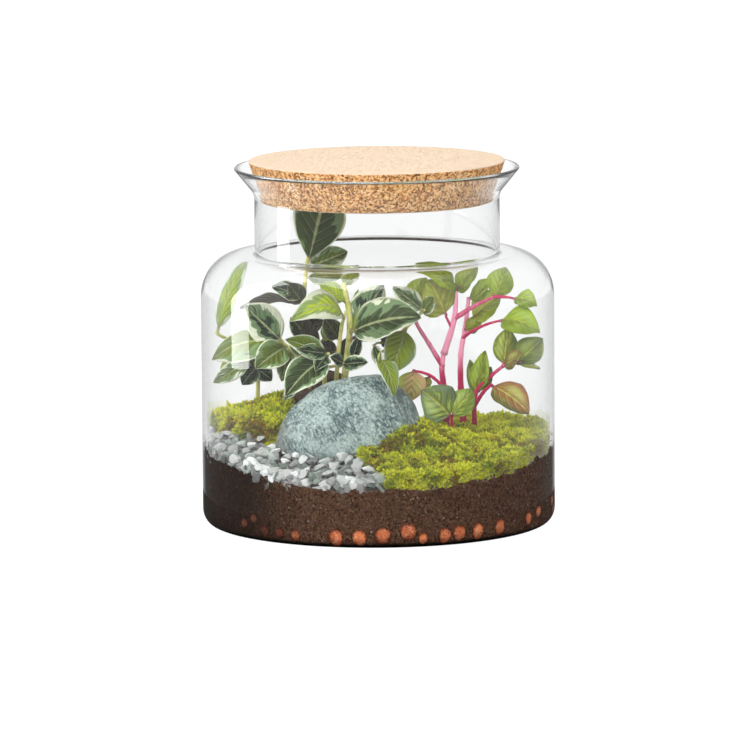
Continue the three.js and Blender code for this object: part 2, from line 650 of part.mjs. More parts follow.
// The holes that a shoot's rooted stems leave in what they grow through, a little deeper than the stems
function shootHoles({ stems }) {
  const rooted = stems.filter(({ path }) => path[0][2] < ROOTED_BELOW);
  return rooted.map(({ radius, path: [[x, y, z], ...rest] }) =>
    solid(stem({ radius, path: [[x, y, z - 2 * GAP], ...rest] }, GAP)));
}

const terrarium = new THREE.Group();

function place(name, geometry, colour, roughness, metalness = 0) {
  const material = new THREE.MeshStandardMaterial({ color: colour, roughness, metalness });
  if (name === 'glass_jar') {
    material.transparent = true;
    material.opacity = 0.25;
  }
  const mesh = new THREE.Mesh(geometry, material);
  mesh.name = name;
  terrarium.add(mesh);
}

const shoots = SHOOTS.map((s) => ({ ...s, body: shootSolid(s), holes: shootHoles(s) }));
const holes = shoots.flatMap((shoot) => shoot.holes);
const stoneCut = solid(stoneGeometry(GAP));
const rootCut = solid(rootBallGeometry(GAP));
const raised = solid(filled(0, (x, y) => soilHeight(x, y) + GAP, 9));

const soil = solid(filled(BALL_LAYER_TOP + GAP, soilHeight));
const rootBall = without(solid(rootBallGeometry()), holes);
const gravelBed = without(gravel(raised), [stoneCut]);
const mossRight = without(moss(MOSS_RIGHT_OUTLINE, MOSS_DEPTH, raised), [stoneCut, ...holes]);
const mossLeft = without(moss(MOSS_LEFT_OUTLINE, MOSS_DEPTH + MOSS_LEFT_EXTRA, raised), [rootCut, ...holes]);

place('glass_jar', geometryOf(solid(turned(jarProfile()))), 0xdfeee8, 0.03);
place('cork_lid', geometryOf(solid(turned(lidProfile()))), 0xd9b48a, 0.9);
place('clay_balls', geometryOf(clayBalls()), 0xcc6946, 0.9);
place('soil', geometryOf(without(soil, [stoneCut, rootCut, ...holes])), 0x463028, 1);
place('root_ball', geometryOf(rootBall), 0x2e211b, 1);
place('stone', geometryOf(solid(stoneGeometry())), 0x8fa5a0, 0.7);
place('gravel', geometryOf(gravelBed), 0xb9bcbc, 0.75);
place('moss_right', geometryOf(mossRight), 0x9aa83a, 1);
place('moss_left', geometryOf(mossLeft), 0x938f33, 1);
for (const { name, colour, body } of shoots) place(name, geometryOf(body), colour, 0.5);

export default terrarium;
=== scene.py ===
"""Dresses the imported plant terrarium: glass, cork, clay balls, soil, stone, gravel, moss and leafy stems.

The object's shapes are worked out in millimetres and become metres where a mesh is made; the stage is in
metres throughout. -Y is the front, +Z is up.
"""
import math

import bpy
import numpy as np
from mathutils import Matrix, Vector


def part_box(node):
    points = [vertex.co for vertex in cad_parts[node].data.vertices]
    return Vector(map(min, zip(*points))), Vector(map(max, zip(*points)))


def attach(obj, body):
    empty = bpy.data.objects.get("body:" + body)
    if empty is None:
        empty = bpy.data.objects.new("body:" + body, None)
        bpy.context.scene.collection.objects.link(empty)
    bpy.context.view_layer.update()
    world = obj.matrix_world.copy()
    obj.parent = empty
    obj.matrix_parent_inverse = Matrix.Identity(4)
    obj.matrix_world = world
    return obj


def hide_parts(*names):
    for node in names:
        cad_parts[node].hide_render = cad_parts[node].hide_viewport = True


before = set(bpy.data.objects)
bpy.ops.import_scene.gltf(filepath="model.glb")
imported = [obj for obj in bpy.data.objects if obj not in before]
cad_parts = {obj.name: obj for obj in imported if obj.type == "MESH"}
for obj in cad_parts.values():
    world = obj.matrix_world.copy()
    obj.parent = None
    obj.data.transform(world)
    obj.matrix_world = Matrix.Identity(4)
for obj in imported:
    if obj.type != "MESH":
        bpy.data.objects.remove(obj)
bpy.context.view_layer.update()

bl_info = {
    "name": "Plant Terrarium",
    "version": (1, 0, 0),
    "blender": (4, 5, 0),
    "location": "View3D > Sidebar > Terrarium",
    "description": "Builds a planted glass terrarium with a cork lid around its packed model",
    "category": "Object",
}

MM = 0.001


def node_box(name):
    """Lowest and highest corner of a node of the frame, in millimetres."""
    low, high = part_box(name)
    return np.array(low) / MM, np.array(high) / MM


# The jar and its lid, in millimetres
BODY_RADIUS = node_box("glass_jar")[1][0]
RIM_HEIGHT = node_box("glass_jar")[1][2]
LID_BOTTOM, LID_TOP = node_box("cork_lid")[0][2], node_box("cork_lid")[1][2]
LID_TOP_RADIUS = node_box("cork_lid")[1][0]
BODY_WALL = 2.1
SHOULDER_WALL = 1.1
NECK_RADIUS = 57.2
NECK_WALL = 1.5
NECK_FILLET = 1.0
RIM_RADIUS = 66.5
RIM_ROUND = 0.8
FLARE_START = 155.0
SHOULDER_START = 106.5
SHOULDER_REACH = 18.0
SHOULDER_RISE = 20.0
HEEL_REACH = 5.0
HEEL_HEIGHT = 7.0
FOOT_INNER = 62.0
PUNT_HEIGHT = 0.8
FLOOR = 1.2
LID_BOTTOM_RADIUS = 54.0
INSIDE = BODY_RADIUS - BODY_WALL - 0.3
AT_GLASS = BODY_RADIUS - BODY_WALL + 0.15

# The stage, in metres
FLOOR_HALF = 3.0
DARK_GROUND_RADIUS = 0.135
CAMERA_AIM = (-0.0061, 0, 0.0734)
LIGHT_AIM = (0, 0, 0.07)
LEFT_LIGHT_AIM = (-0.06, -0.05, 0.39)

# What the jar holds. A heap is its middle, its rise and its spread.
SOIL_BOTTOM = 0.9
SOIL_BACK = 38.0
SOIL_REACH = 80.0
SOIL_FRONT_DROP = 11.0
SOIL_BACK_DROP = 3.5
HEAPS = ((-46, 14, 10, 14), (15, -36, 11, 16))
STONE = {"x": -8, "y": -27, "z": 40, "left": 40, "right": 30, "depth": 21, "up": 33.5, "down": 13}
ROOT_BALL = {"x": -24, "y": 16, "radius": 16.5, "bottom": 32, "top": 69}
ROOTS = 46

# The clay balls that show at the front glass: across in millimetres, radius and height of the middle.
# The glass cuts a cap off each ball, so that it has to be larger than it looks.
FRONT_BALLS = [(-59.5, 2.2, 8.2), (-55.5, 2.0, 11.0), (-50.5, 2.4, 6.4), (-44.0, 2.3, 6.2), (-37.0, 2.4, 5.8),
               (-18.7, 3.8, 6.0), (-8.7, 3.8, 6.2), (1.4, 4.4, 7.0), (12.3, 4.6, 8.4), (19.2, 2.6, 5.4),
               (28.3, 3.5, 6.2), (34.7, 3.8, 6.6), (42.5, 3.9, 6.8), (52.0, 3.9, 7.2), (65.0, 3.4, 8.0),
               (69.5, 3.2, 9.6), (75.2, 3.6, 11.5)]
# The ring of balls behind them: first angle, end and step, in degrees
BALL_RING = (-8, 186, 7.2)
BALL_CAP = 1.9
BALL_GROWTH = 1.12
BALL_SETTLING = 0.6

# The gravel and the moss follow the glass between two angles, in some steps, and come back along the inner
# points.
GRAVEL_GLASS = (174, 271.5, 24)
GRAVEL_INNER = [[0, -66], [-11, -54], [-20, -46], [-36, -40], [-45, -24], [-50, -17], [-60, -9]]
# Pebbles of each kind, the spacing that they keep in pebble sizes, and how far they lie over the soil
LOWER_PEBBLES, LOWER_SPACING, LOWER_LIFT = 420, 0.8, (0.2, 2.0)
UPPER_PEBBLES, UPPER_SPACING, UPPER_LIFT = 310, 1.04, (2.4, 4.4)
RIM_PEBBLES, RIM_ANGLES, RIM_LIFT = 110, (174, 270.5), (-3.2, 4.2)
MOSS_RIGHT = {
    "node": "moss_right", "seed": 81, "sprigs": 8800, "depth": 6.0, "tallness": 1.0, "middle": (45, -20),
    "glass": (273, 385, 60),
    "inner": [[64, 42], [44, 45], [24, 38], [15, 22], [19, -2], [24, -20], [10, -36], [-9, -50], [0, -66]],
}
MOSS_LEFT = {
    "node": "moss_left", "seed": 82, "sprigs": 3400, "depth": 9.0, "tallness": 1.5, "middle": (-58, 12),
    "glass": (152, 173, 12),
    "inner": [[-60, -8], [-50, -16], [-45, -14], [-43, 6], [-42, 22], [-45, 34], [-56, 36]],
}
CUSHION_INSET = 2.2
SPRIGS_PER_EDGE_MM = 15

# The plants' shapes, and ways that the upper side of a leaf may look
LEAF_ROWS, LEAF_COLUMNS = 30, 13
LEAF_WAVE = 0.04
STEM_TAPER = 0.55
FRONT = (0, -0.9, 0.45)
UPRIGHT = (0, -0.97, 0.2)
SLOPED = (0, -0.75, 0.65)
FLAT = (0, -0.15, 1)


def leaf(base, tip, width, face, lit, mark, **form):
    """A leaf from base to tip, with the way that its upper side looks.

    lit and mark go from 0 to 1: how much light comes through, which the blade lets through and also shows as
    painted light, a lime glow in its colour, and how far it is marked, with cream on the marbled plants and
    with rust on the pink-stemmed one. form is what some leaves have besides: arch bends the blade, fold
    raises its margins, brown shows its purple-brown back and blunt rounds its tip.
    """
    return {"base": base, "tip": tip, "width": width, "face": face, "lit": lit, "mark": mark, **form}


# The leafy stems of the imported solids, with some small leaves more. A stem is its radius and its points.
MARBLED_PLANTS = {
    "marbled_stem_tall": {
        "stems": [
            (1.4, [(-30, 16, 46), (-33, 18, 74), (-35, 21, 96), (-34, 24, 110), (-33, 26, 121)]),
            (0.9, [(-34, 19, 80), (-29, 16, 82), (-25, 14, 83)]),
        ],
        "leaves": [
            leaf((-33, 26, 118), (-25, 33, 148), 25, (0.1, -0.95, 0.3), 0.07, 0, fold=0.2, blunt=0.8),
            leaf((-33, 27, 116), (-14, 31, 123), 13, FRONT, 0.2, 0.5),
            leaf((-34, 25, 110), (-13, 18, 114), 12, SLOPED, 0.2, 0.55),
            leaf((-35, 22, 102), (-50, 18, 107), 9, SLOPED, 0, 0.2),
            leaf((-35, 21, 99), (-65, 8, 99), 14, FLAT, 0, 0.1, arch=0.06, brown=0.9),
            leaf((-26, 14.5, 83), (-19, 12, 92), 8, FRONT, 0.8, 0),
            leaf((-35, 20, 99), (-42, 19, 108), 9, FRONT, 0.1, 0.1, brown=0.6),
            leaf((-34, 19, 92), (-27, 20, 103), 9, FRONT, 0, 0.1, brown=0.85),
            leaf((-33, 18, 84), (-41, 16, 94), 9, FRONT, 0, 0.15, brown=0.3),
            leaf((-34, 20, 88), (-25, 17, 92), 7, FRONT, 0, 0.1, brown=0.7),
            leaf((-32, 17, 76), (-40, 15, 83), 8, FRONT, 0, 0.2, brown=0.5),
        ],
    },
    "marbled_stem_middle": {
        "stems": [
            (1.8, [(-18, 10, 48), (-15, 7, 72), (-13, 4, 92), (-15, 2, 106), (-16, 2, 111)]),
            (1.2, [(-21, 9, 50), (-19, 5, 73), (-17, 2.5, 91), (-14.8, 2.2, 98)]),
        ],
        "leaves": [
            leaf((-16, 2, 95), (-41, -12, 96), 15, SLOPED, 1, 0.6, arch=0.36),
            leaf((-15, 2, 102), (-27, 5, 110), 9, (-0.3, -0.7, 0.6), 1, 0.35, arch=0.1),
            leaf((-16, 2, 109), (-9, 4, 120), 7, UPRIGHT, 0.5, 0.4),
            leaf((-13, 4, 88), (-9, 7, 107), 6, (-0.6, -0.7, 0.2), 0.8, 0.1),
            leaf((-13, 4, 89), (3, 6, 109), 15, (0.2, -0.9, 0.3), 0, 0.55, fold=0.2),
            leaf((-13, 3, 88), (20, -10, 97), 21, (0.1, -0.78, 0.62), 0.05, 0.22, arch=0.12, fold=0.2),
            leaf((-13, 4, 85), (0, 5, 87), 10, FLAT, 0, 0.1, brown=0.9),
            leaf((-29, 10, 79), (-35, 11, 95), 7, FRONT, 0, 0.05, brown=0.95),
            leaf((-19, 7, 79), (-28, 8, 82.5), 6, FRONT, 0, 0, brown=0.9),
            leaf((-18, 9, 84), (-25, 10, 94.5), 9, FRONT, 0.1, 0, brown=0.6),
            leaf((-12, 3, 76), (-8.5, 1, 87), 5, FRONT, 0, 0.05),
            leaf((-18, 8, 72), (-13, 7, 86), 8, FRONT, 0, 0.05, brown=0.5),
            leaf((-8, 4, 84.5), (6, 3, 86), 9, FLAT, 0, 0, brown=0.95),
        ],
    },
    "marbled_stem_right": {
        "stems": [
            (1.2, [(0, 14, 24), (2, 11, 50), (4, 8, 66), (5, 5, 80), (6, 4, 85)]),
            (0.9, [(6, 4, 84), (13, 4, 90), (18, 2, 95), (22, -2, 99)]),
            (0.7, [(5, 5, 80), (1, -6, 80), (0, -14, 77.5)]),
            (0.7, [(5, 4, 83), (0, -1, 84), (-2, -4, 83)]),
        ],
        "leaves": [
            leaf((21.5, -2, 98.5), (7, 0, 109), 9, (0.2, -0.8, 0.55), 0.1, 0.7),
            leaf((13, 4, 90), (5, -6, 70), 15, (0.3, -0.85, 0.35), 0.55, 0, arch=0.12, brown=0.3),
            leaf((6, 4, 84), (16, -2, 79), 8, FRONT, 0.5, 0.15, arch=0.1),
            leaf((-2, -3, 83.5), (2, -9, 73), 5, (-0.5, -0.8, 0.2), 0.1, 0.7),
            leaf((0, -13, 77.5), (7, -46, 65), 9, (0.2, -0.5, 0.85), 0.45, 0.3, arch=0.14),
            leaf((9, 4, 88), (2, 1, 82), 8, (-0.2, -0.8, 0.4), 0.4, 0.05, brown=0.55),
            leaf((20, 0, 97), (26, 2, 104), 7, FRONT, 0.3, 0.3),
        ],
    },
    "marbled_stem_left": {
        "stems": [
            (1.1, [(-31, 9, 50), (-33, 5, 70), (-38, 2, 78), (-44, 0, 84), (-45, 0, 85)]),
        ],
        "leaves": [
            leaf((-44.5, 0, 84.5), (-62, -3, 102), 17, (0.1, -0.9, 0.4), 0, 0.75, fold=0.2),
            leaf((-44, 0, 84), (-78, 2, 76), 17, SLOPED, 0.3, 0.3, arch=0.24, fold=-0.2),
            leaf((-43.5, 0, 83.5), (-62, -9, 80), 8, SLOPED, 0, 0.4),
            leaf((-42.5, 0.5, 82.5), (-57, -13, 74), 14, FRONT, 0.2, 0.2, arch=0.1),
            leaf((-41.5, 1, 81.5), (-45, -7, 67), 8, FRONT, 0.25, 0.3, arch=0.1),
            leaf((-60, -3, 77), (-77, -6, 66.5), 8, (0.3, -0.9, 0.2), 0.3, 0.65, arch=0.1),
            leaf((-70, -4, 78), (-73, -5, 68), 3.5, FRONT, 1, 0.2),
        ],
    },
    "marbled_stem_low": {
        "stems": [
            (1.2, [(-25, 8, 48), (-25, 3, 70), (-24, -3, 77), (-23, -6, 80)]),
            (0.8, [(-25, 1, 72), (-18, -2, 74), (-16, -5, 75)]),
        ],
        "leaves": [
            leaf((-24, -4, 78), (-43, -9, 87), 10, FRONT, 0.25, 0.2, arch=0.14),
            leaf((-23, -5, 79.5), (-37, -14, 83), 7, FRONT, 0, 0.3),
            leaf((-24, -3, 77), (-43, -20, 62), 17, (-0.2, -0.85, 0.5), 0.05, 0.2, arch=0.14),
            leaf((-24, -4, 77.5), (-29, -16, 73.5), 7, SLOPED, 0, 0.25, arch=0.1),
            leaf((-16, -4, 75), (-22, -11, 79), 6, FRONT, 0, 0.3),
            leaf((-17, -4, 74.5), (-5, -11, 76.5), 7, FRONT, 0, 0.35),
            leaf((-37, -16, 69), (-43.5, -20, 60), 5, FRONT, 0, 0.6, arch=0.06),
            leaf((-26, -7, 75), (-32.5, -13, 67), 4, (-0.5, -0.8, 0.1), 0.2, 0.9, arch=0.15),
            leaf((-34, -8, 80), (-41, -7, 87), 7, FRONT, 0.3, 0.1, brown=0.5),
        ],
    },
    "marbled_stem_back_left": {
        "stems": [
            (1.1, [(-56, 16, 30), (-57, 15, 50), (-57, 14, 70), (-63, 13, 80), (-75, 9, 87), (-76, 9, 89)]),
        ],
        "leaves": [
            leaf((-75.5, 9, 88), (-61, 14, 121), 10, (-0.5, -0.8, 0.3), 0.7, 0.45, arch=0.1, fold=-0.2),
            leaf((-57, 14, 71), (-64, 10, 63), 9, FRONT, 0, 0.1, arch=0.1),
            leaf((-57, 14, 70), (-50, 11, 65), 8, FRONT, 0, 0.1, arch=0.1),
            leaf((-57, 14, 69), (-58, 22, 78), 8, FRONT, 0, 0.1),
            leaf((-57, 14, 71), (-54, 12, 84), 10, FRONT, 0.1, 0.1),
            leaf((-57, 15, 66), (-62, 12, 76), 8, FRONT, 0.15, 0.1),
        ],
    },
}

PINK_PLANTS = {
    "pink_stem_left": {
        "stems": [
            (1.9, [(33, 15, 26), (32, 14, 46), (31, 12, 60), (30, 10, 70), (31, 10, 78)]),
            (1.6, [(31, 10, 77), (36, 8, 94), (37, 10, 107)]),
            (1.2, [(30.5, 10, 71), (24, 9, 82), (18, 10, 92), (16, 12, 100)]),
            (0.8, [(35, 8, 89), (33, 8, 93), (31.5, 8, 96)]),
            (1.1, [(36, 8, 94), (46, 4, 100), (55, 0, 104.5)]),
            (0.8, [(54, 0, 104.2), (60, -2, 104.5), (64, -3, 104)]),
        ],
        "leaves": [
            leaf((16, 12, 99), (23, 12, 112), 11, FRONT, 0.7, 0.1),
            leaf((32, 8, 95), (23.5, 6, 111.5), 20, (0.1, -0.85, 0.5), 0.55, 0.25, arch=0.08),
            leaf((37, 10, 106), (18, 9, 120), 13, (-0.2, -0.5, 0.85), 0.9, 0, arch=0.08),
            leaf((37, 10, 106), (47, 12, 119), 9, (0.1, -0.6, 0.8), 0.8, 0.1),
            leaf((37, 10, 105.5), (44, 9, 110), 6, SLOPED, 0.6, 0),
            leaf((55, 0, 104), (60, 3, 117.5), 12, UPRIGHT, 0.75, 0, fold=0.25),
            leaf((63.5, -3, 104), (74, -8, 102), 10, (0, -0.6, 0.8), 1, 0, arch=0.12),
        ],
    },
    "pink_stem_middle": {
        "stems": [
            (1.7, [(41, 19, 26), (40, 18, 46), (39, 16, 60), (39, 14, 76), (41, 14, 88), (43, 14, 102)]),
            (0.9, [(40, 14, 84), (44, 7, 88), (51, 2, 92), (57.5, -3, 94.5)]),
            (0.8, [(41, 14, 89), (43, 13, 92), (45, 12, 94)]),
        ],
        "leaves": [
            leaf((43, 14, 101), (54, 10, 110), 10, (0, -0.5, 0.85), 0.8, 0),
            leaf((44, 12.5, 93), (58, 8, 104), 14, SLOPED, 0.7, 0.2, arch=0.08),
            leaf((57, -2.8, 94.4), (75, -13, 90), 15, SLOPED, 1, 0, arch=0.2),
            leaf((41, 12, 88), (49, 9, 93), 7, FRONT, 0.55, 0.1),
        ],
    },
    "pink_stem_right": {
        "stems": [
            (1.3, [(45, 6, 26), (45, 5, 46), (46, 3, 60), (53, 0, 68), (59, -3, 73.5)]),
            (0.9, [(58, -2.5, 72.8), (62, -4, 74), (66, -5, 75)]),
            (1.1, [(45.5, 4, 54), (49, 0, 60), (53, -4, 64.5)]),
        ],
        "leaves": [
            leaf((58.5, -2.5, 73), (61, 4, 90), 11, UPRIGHT, 0.2, 0.15, fold=0.25),
            leaf((65, -5, 74.8), (77, -4, 86), 13, (-0.1, -0.85, 0.5), 0.25, 0.05),
            leaf((59, -3, 73), (67, -11, 80), 9, SLOPED, 0.1, 0.6),
            leaf((65, -5, 74.5), (75, -13, 73), 6, FLAT, 0.5, 0.3),
            leaf((52.5, -3.5, 64), (70, -13, 52), 15, (0.3, -0.8, 0.5), 0.05, 0.9, arch=0.1),
            leaf((46, 3, 59), (50, -1, 80), 8, (-0.2, -0.95, 0.1), 0.65, 0, fold=0.3),
            leaf((46, 3.5, 58), (43, 5, 75), 6, (0.4, -0.9, 0.1), 0.1, 0.1),
            leaf((47, 3, 60), (53, 2, 72), 6, (0.3, -0.9, 0.2), 0.1, 0.3),
        ],
    },
    "pink_stem_front": {
        "stems": [
            (1.0, [(33, 4, 24), (32.5, 3.5, 44), (31, 2.5, 60), (26, 1.5, 67), (20, 0, 70), (16, -2, 70.5)]),
        ],
        "leaves": [
            leaf((17, -1.5, 71.5), (15, -4, 57), 13, (-0.2, -0.95, 0.2), 1, 1, arch=0.08),
            leaf((24, 1, 67.5), (21, -1, 62), 4, FRONT, 0.2, 0.4),
        ],
    },
    "pink_stem_seedling": {
        "stems": [
            (1.0, [(34.5, -9, 24), (34.5, -9.5, 42), (34, -12, 51)]),
        ],
        "leaves": [
            leaf((34, -11.8, 50.5), (20.5, -17, 64), 19, FRONT, 0.1, 0, arch=0.05, brown=0.45),
            leaf((34, -11.8, 50.5), (44, -9, 63), 12, FRONT, 0.3, 0, arch=0.05, brown=0.2),
        ],
    },
}


# Settings a user would change

def colour_setting(name, description, default):
    return bpy.props.FloatVectorProperty(
        name=name, description=description, subtype="COLOR", size=3, min=0, max=1, default=default)


def number_setting(name, description, default, **kind):
    return bpy.props.FloatProperty(name=name, description=description, default=default, **kind)


def light(*levels):
    """A colour from screen levels of 0 to 255, as the linear values that a shader takes."""
    shares = np.array(levels) / 255
    return tuple(np.where(shares <= 0.04045, shares / 12.92, ((shares + 0.055) / 1.055) ** 2.4).tolist())


class JarSettings(bpy.types.PropertyGroup):
    """Sizes and colours of the glass jar and its lid"""
    segments: bpy.props.IntProperty(name="Segments", description="Faces around the jar", default=180, min=24)
    tint: colour_setting("Glass", "Tint of the glass seen straight on", (0.95, 0.955, 0.955))
    edge: colour_setting("Glass edge", "Tint of the glass seen edge on", light(205, 212, 212))
    foot: colour_setting("Glass foot", "Tint of the thick glass at the foot", light(10, 30, 24))
    cork_face: colour_setting("Cork face", "Colour of the lid's sanded top", light(238, 216, 192))
    cork_side: colour_setting("Cork side", "Colour of the lid's cut side", light(222, 152, 90))
    cork_pit: colour_setting("Cork pits", "Colour of the pits between the granules", light(78, 42, 22))


class BedSettings(bpy.types.PropertyGroup):
    """Sizes and colours of the layers that the jar holds"""
    ball: colour_setting("Clay", "Colour of the clay balls", light(250, 150, 98))
    soil: colour_setting("Soil", "Colour of the potting soil", light(74, 47, 33))
    soil_speck: colour_setting("Soil specks", "Colour of the light specks in the soil", light(190, 150, 112))
    stone_light: colour_setting("Stone light", "Pale colour of the stone", light(178, 194, 190))
    stone_dark: colour_setting("Stone dark", "Dark colour of the stone", light(96, 116, 114))
    pebble_size: number_setting("Pebble size", "Length of a middling pebble", 0.0052, unit="LENGTH")
    moss_lit: colour_setting("Moss tips", "Colour of the moss tips", light(255, 255, 60))
    moss_deep: colour_setting("Moss base", "Colour deep in the moss", light(36, 44, 2))
    sprig_height: number_setting("Sprig height", "Height of a moss sprig", 0.0028, unit="LENGTH")


class PlantSettings(bpy.types.PropertyGroup):
    """Colours of the leaves and stems"""
    dark: colour_setting("Dark green", "Colour at the middle of a marbled leaf", light(14, 40, 14))
    middle: colour_setting("Grey green", "Colour between middle and margin", light(114, 142, 96))
    cream: colour_setting("Cream", "Colour of the margins", light(234, 238, 212))
    lime: colour_setting("Lime", "Colour of a lit leaf", light(196, 220, 10))
    underside: colour_setting("Underside", "Colour of a leaf's purple-brown back", light(30, 25, 14))
    petiole: colour_setting("Marbled stem", "Colour of the marbled plants' stems", light(226, 222, 140))
    olive: colour_setting("Olive", "Dark colour of the pink-stemmed plant's leaves", light(56, 88, 18))
    rust: colour_setting("Rust", "Colour of rusty leaves", light(168, 92, 26))
    vein: colour_setting("Vein", "Colour of the veins", light(218, 218, 104))
    crimson: colour_setting("Crimson", "Deep colour of the pink stems", light(206, 26, 92))
    pink: colour_setting("Pink", "Pale colour of the pink stems", light(254, 164, 198))


class StudioSettings(bpy.types.PropertyGroup):
    """The floor, light and camera around the object"""
    distance: number_setting("Camera distance", "From the camera to its aim", 3.0, unit="LENGTH")
    pitch: number_setting("Camera pitch", "How far it looks down", math.radians(8.14), subtype="ANGLE")
    roll: number_setting("Camera roll", "Turn about the line of sight", math.radians(-0.4), subtype="ANGLE")
    lens: number_setting("Lens", "Focal length in millimetres", 316.3)
    room_light: number_setting("Room light", "Strength of the room's dim band", 0.12)
    ceiling_light: number_setting("Ceiling light", "Strength of the rest of the room", 0.95)
    floor_glow: number_setting("Floor glow", "Own light of the floor", 0.97)
    key_power: number_setting("Key light", "Power of the light at the front", 13.0, unit="POWER")
    top_power: number_setting("Top light", "Power of the light above", 9.0, unit="POWER")
    side_power: number_setting("Side light", "Power of the light at the left", 3.2, unit="POWER")


# Shapes

def unit(vectors):
    """Vectors brought to length 1 along the last axis."""
    vectors = np.asarray(vectors, dtype=float)
    return vectors / np.linalg.norm(vectors, axis=-1, keepdims=True)


def full_circle(count):
    """That many even angles around a circle."""
    return 2 * np.pi * np.arange(count) / count


def polar(radius, angle, height):
    """Points at a distance and an angle from the jar's axis, at a height."""
    return np.stack(np.broadcast_arrays(radius * np.cos(angle), radius * np.sin(angle), height), axis=-1)


def level(x, y):
    """Points at height 0, to draw noise for."""
    return np.stack([x, y, 0 * x], axis=-1)


def smooth_step(low, high, value):
    """0 below low, 1 above high, and an S-shaped rise between them."""
    share = np.clip((value - low) / (high - low), 0, 1)
    return share * share * (3 - 2 * share)


def lattice(cells, seed):
    """A repeatable draw between 0 and 1 for each cell, given by three whole numbers, by mixing their bits."""
    x, y, z = np.moveaxis(cells, -1, 0)
    mixed = (x * 374761393 + y * 668265263 + z * 1440662683 + seed * 974634777) & 0xFFFFFFFF
    mixed = ((mixed ^ (mixed >> 13)) * 1274126177) & 0xFFFFFFFF
    return ((mixed ^ (mixed >> 16)) & 0xFFFF) / 65535.0


def noise(points, size, seed=0):
    """Smooth noise from -1 to 1: draws at the corners of cubes of that size, blended by smoothed shares."""
    scaled = np.asarray(points) / size
    cell = np.floor(scaled).astype(np.int64)
    share = scaled - cell
    weight = share * share * (3 - 2 * share)
    total = np.zeros(scaled.shape[:-1])
    for corner in np.ndindex(2, 2, 2):
        part = np.where(np.array(corner) == 1, weight, 1 - weight).prod(axis=-1)
        total += part * lattice(cell + np.array(corner), seed)
    return 2 * total - 1


def rough(points, size, seed=0, layers=3):
    """Noise with finer noise on it: each layer has half the size and half the height of the last."""
    return sum(noise(points, size / 2 ** i, seed + i) / 2 ** i for i in range(layers))


def volume(points, faces):
    """Six times the signed volume inside closed faces, by the triple product over each face's triangles."""
    total = 0.0
    for group in faces:
        for i in range(1, group.shape[1] - 1):
            a, b, c = points[group[:, 0]], points[group[:, i]], points[group[:, i + 1]]
            total += np.einsum("ij,ij->", a, np.cross(b, c))
    return total


def loft(rings):
    """A skin over closed rings of points, rings[i, j] being point j of ring i.

    Four-sided faces join each ring to the next, and a fan to the ring's middle closes each end.
    """
    count, around = rings.shape[:2]
    i = np.arange(count - 1)[:, None] * around
    j = np.arange(around)
    k = (j + 1) % around
    sides = np.stack([i + j, i + k, i + around + k, i + around + j], axis=-1).reshape(-1, 4)
    first, last, top = count * around, count * around + 1, (count - 1) * around
    low = np.stack([np.full(around, first), k, j], axis=-1)
    high = np.stack([np.full(around, last), top + j, top + k], axis=-1)
    points = np.vstack([rings.reshape(-1, 3), rings[0].mean(axis=0), rings[-1].mean(axis=0)])
    faces = [sides, low, high]
    if volume(points, faces) < 0:
        faces = [group[:, ::-1] for group in faces]
    return points, faces


def loft_values(values):
    """Values given for each ring point, with those of the two end points that loft adds."""
    return np.concatenate([values.ravel(), [values[0].mean(), values[-1].mean()]])


def turned(profile, segments):
    """Rings about the jar's axis from an (n, 2) profile of radius and height."""
    return polar(profile[:, :1], full_circle(segments), profile[:, 1:])


def arc(cx, cz, rx, rz, start, end, steps):
    """Points of an ellipse's arc between two angles in degrees: centre plus radii times cosine and sine."""
    angle = np.radians(np.linspace(start, end, steps + 1))
    return np.stack([cx + rx * np.cos(angle), cz + rz * np.sin(angle)], axis=-1)


def globe(rows, columns):
    """Rings of a unit sphere, from just above its lower pole to just below its upper one."""
    down = np.pi * (np.arange(rows)[:, None] + 0.5) / rows
    return polar(np.sin(down), full_circle(columns), -np.cos(down))


def joined(shapes):
    """Several shapes as one. A shape is its points, its faces and a dictionary of a value for each point."""
    points, faces, values = [], [], {}
    count = 0
    for shape_points, shape_faces, shape_values in shapes:
        points.append(shape_points)
        faces += [group + count for group in shape_faces]
        for name, value in shape_values.items():
            values.setdefault(name, []).append(np.broadcast_to(value, len(shape_points)))
        count += len(shape_points)
    return np.vstack(points), faces, {name: np.concatenate(value) for name, value in values.items()}


def copies(points, faces, turns, places):
    """A shape repeated: copy n is its points times turns[n], moved by places[n]."""
    spread = np.einsum("nij,kj->nki", turns, points) + places[:, None]
    steps = (np.arange(len(places)) * len(points))[:, None, None]
    return spread.reshape(-1, 3), [(group[None] + steps).reshape(-1, group.shape[1]) for group in faces]


def random_turn(draw):
    """A random rotation, from a unit quaternion."""
    a, b, c, d = unit(draw.normal(size=4))
    return np.array([
        [1 - 2 * (c * c + d * d), 2 * (b * c - a * d), 2 * (b * d + a * c)],
        [2 * (b * c + a * d), 1 - 2 * (b * b + d * d), 2 * (c * d - a * b)],
        [2 * (b * d - a * c), 2 * (c * d + a * b), 1 - 2 * (b * b + c * c)],
    ])


def standing(up, aside):
    """Rotations whose third axis points along each up, and whose first is square to it and to aside."""
    up = unit(up)
    first = unit(np.cross(aside, up))
    return np.stack([first, np.cross(up, first), up], axis=-1)


def outwards_from(x, y, rings):
    """Level directions away from an upright axis through x and y, which fade within 1 mm of it."""
    away = (rings - [x, y, 0]) * [1, 1, 0]
    return away / np.maximum(np.linalg.norm(away, axis=-1, keepdims=True), 1)


def held_in(points, limit):
    """Points pressed back towards the jar's axis where they reach past the limit."""
    reach = np.hypot(points[:, 0], points[:, 1])
    share = np.minimum(1, limit / np.maximum(reach, 1e-6))
    return points * np.stack([share, share, np.ones_like(share)], axis=-1)


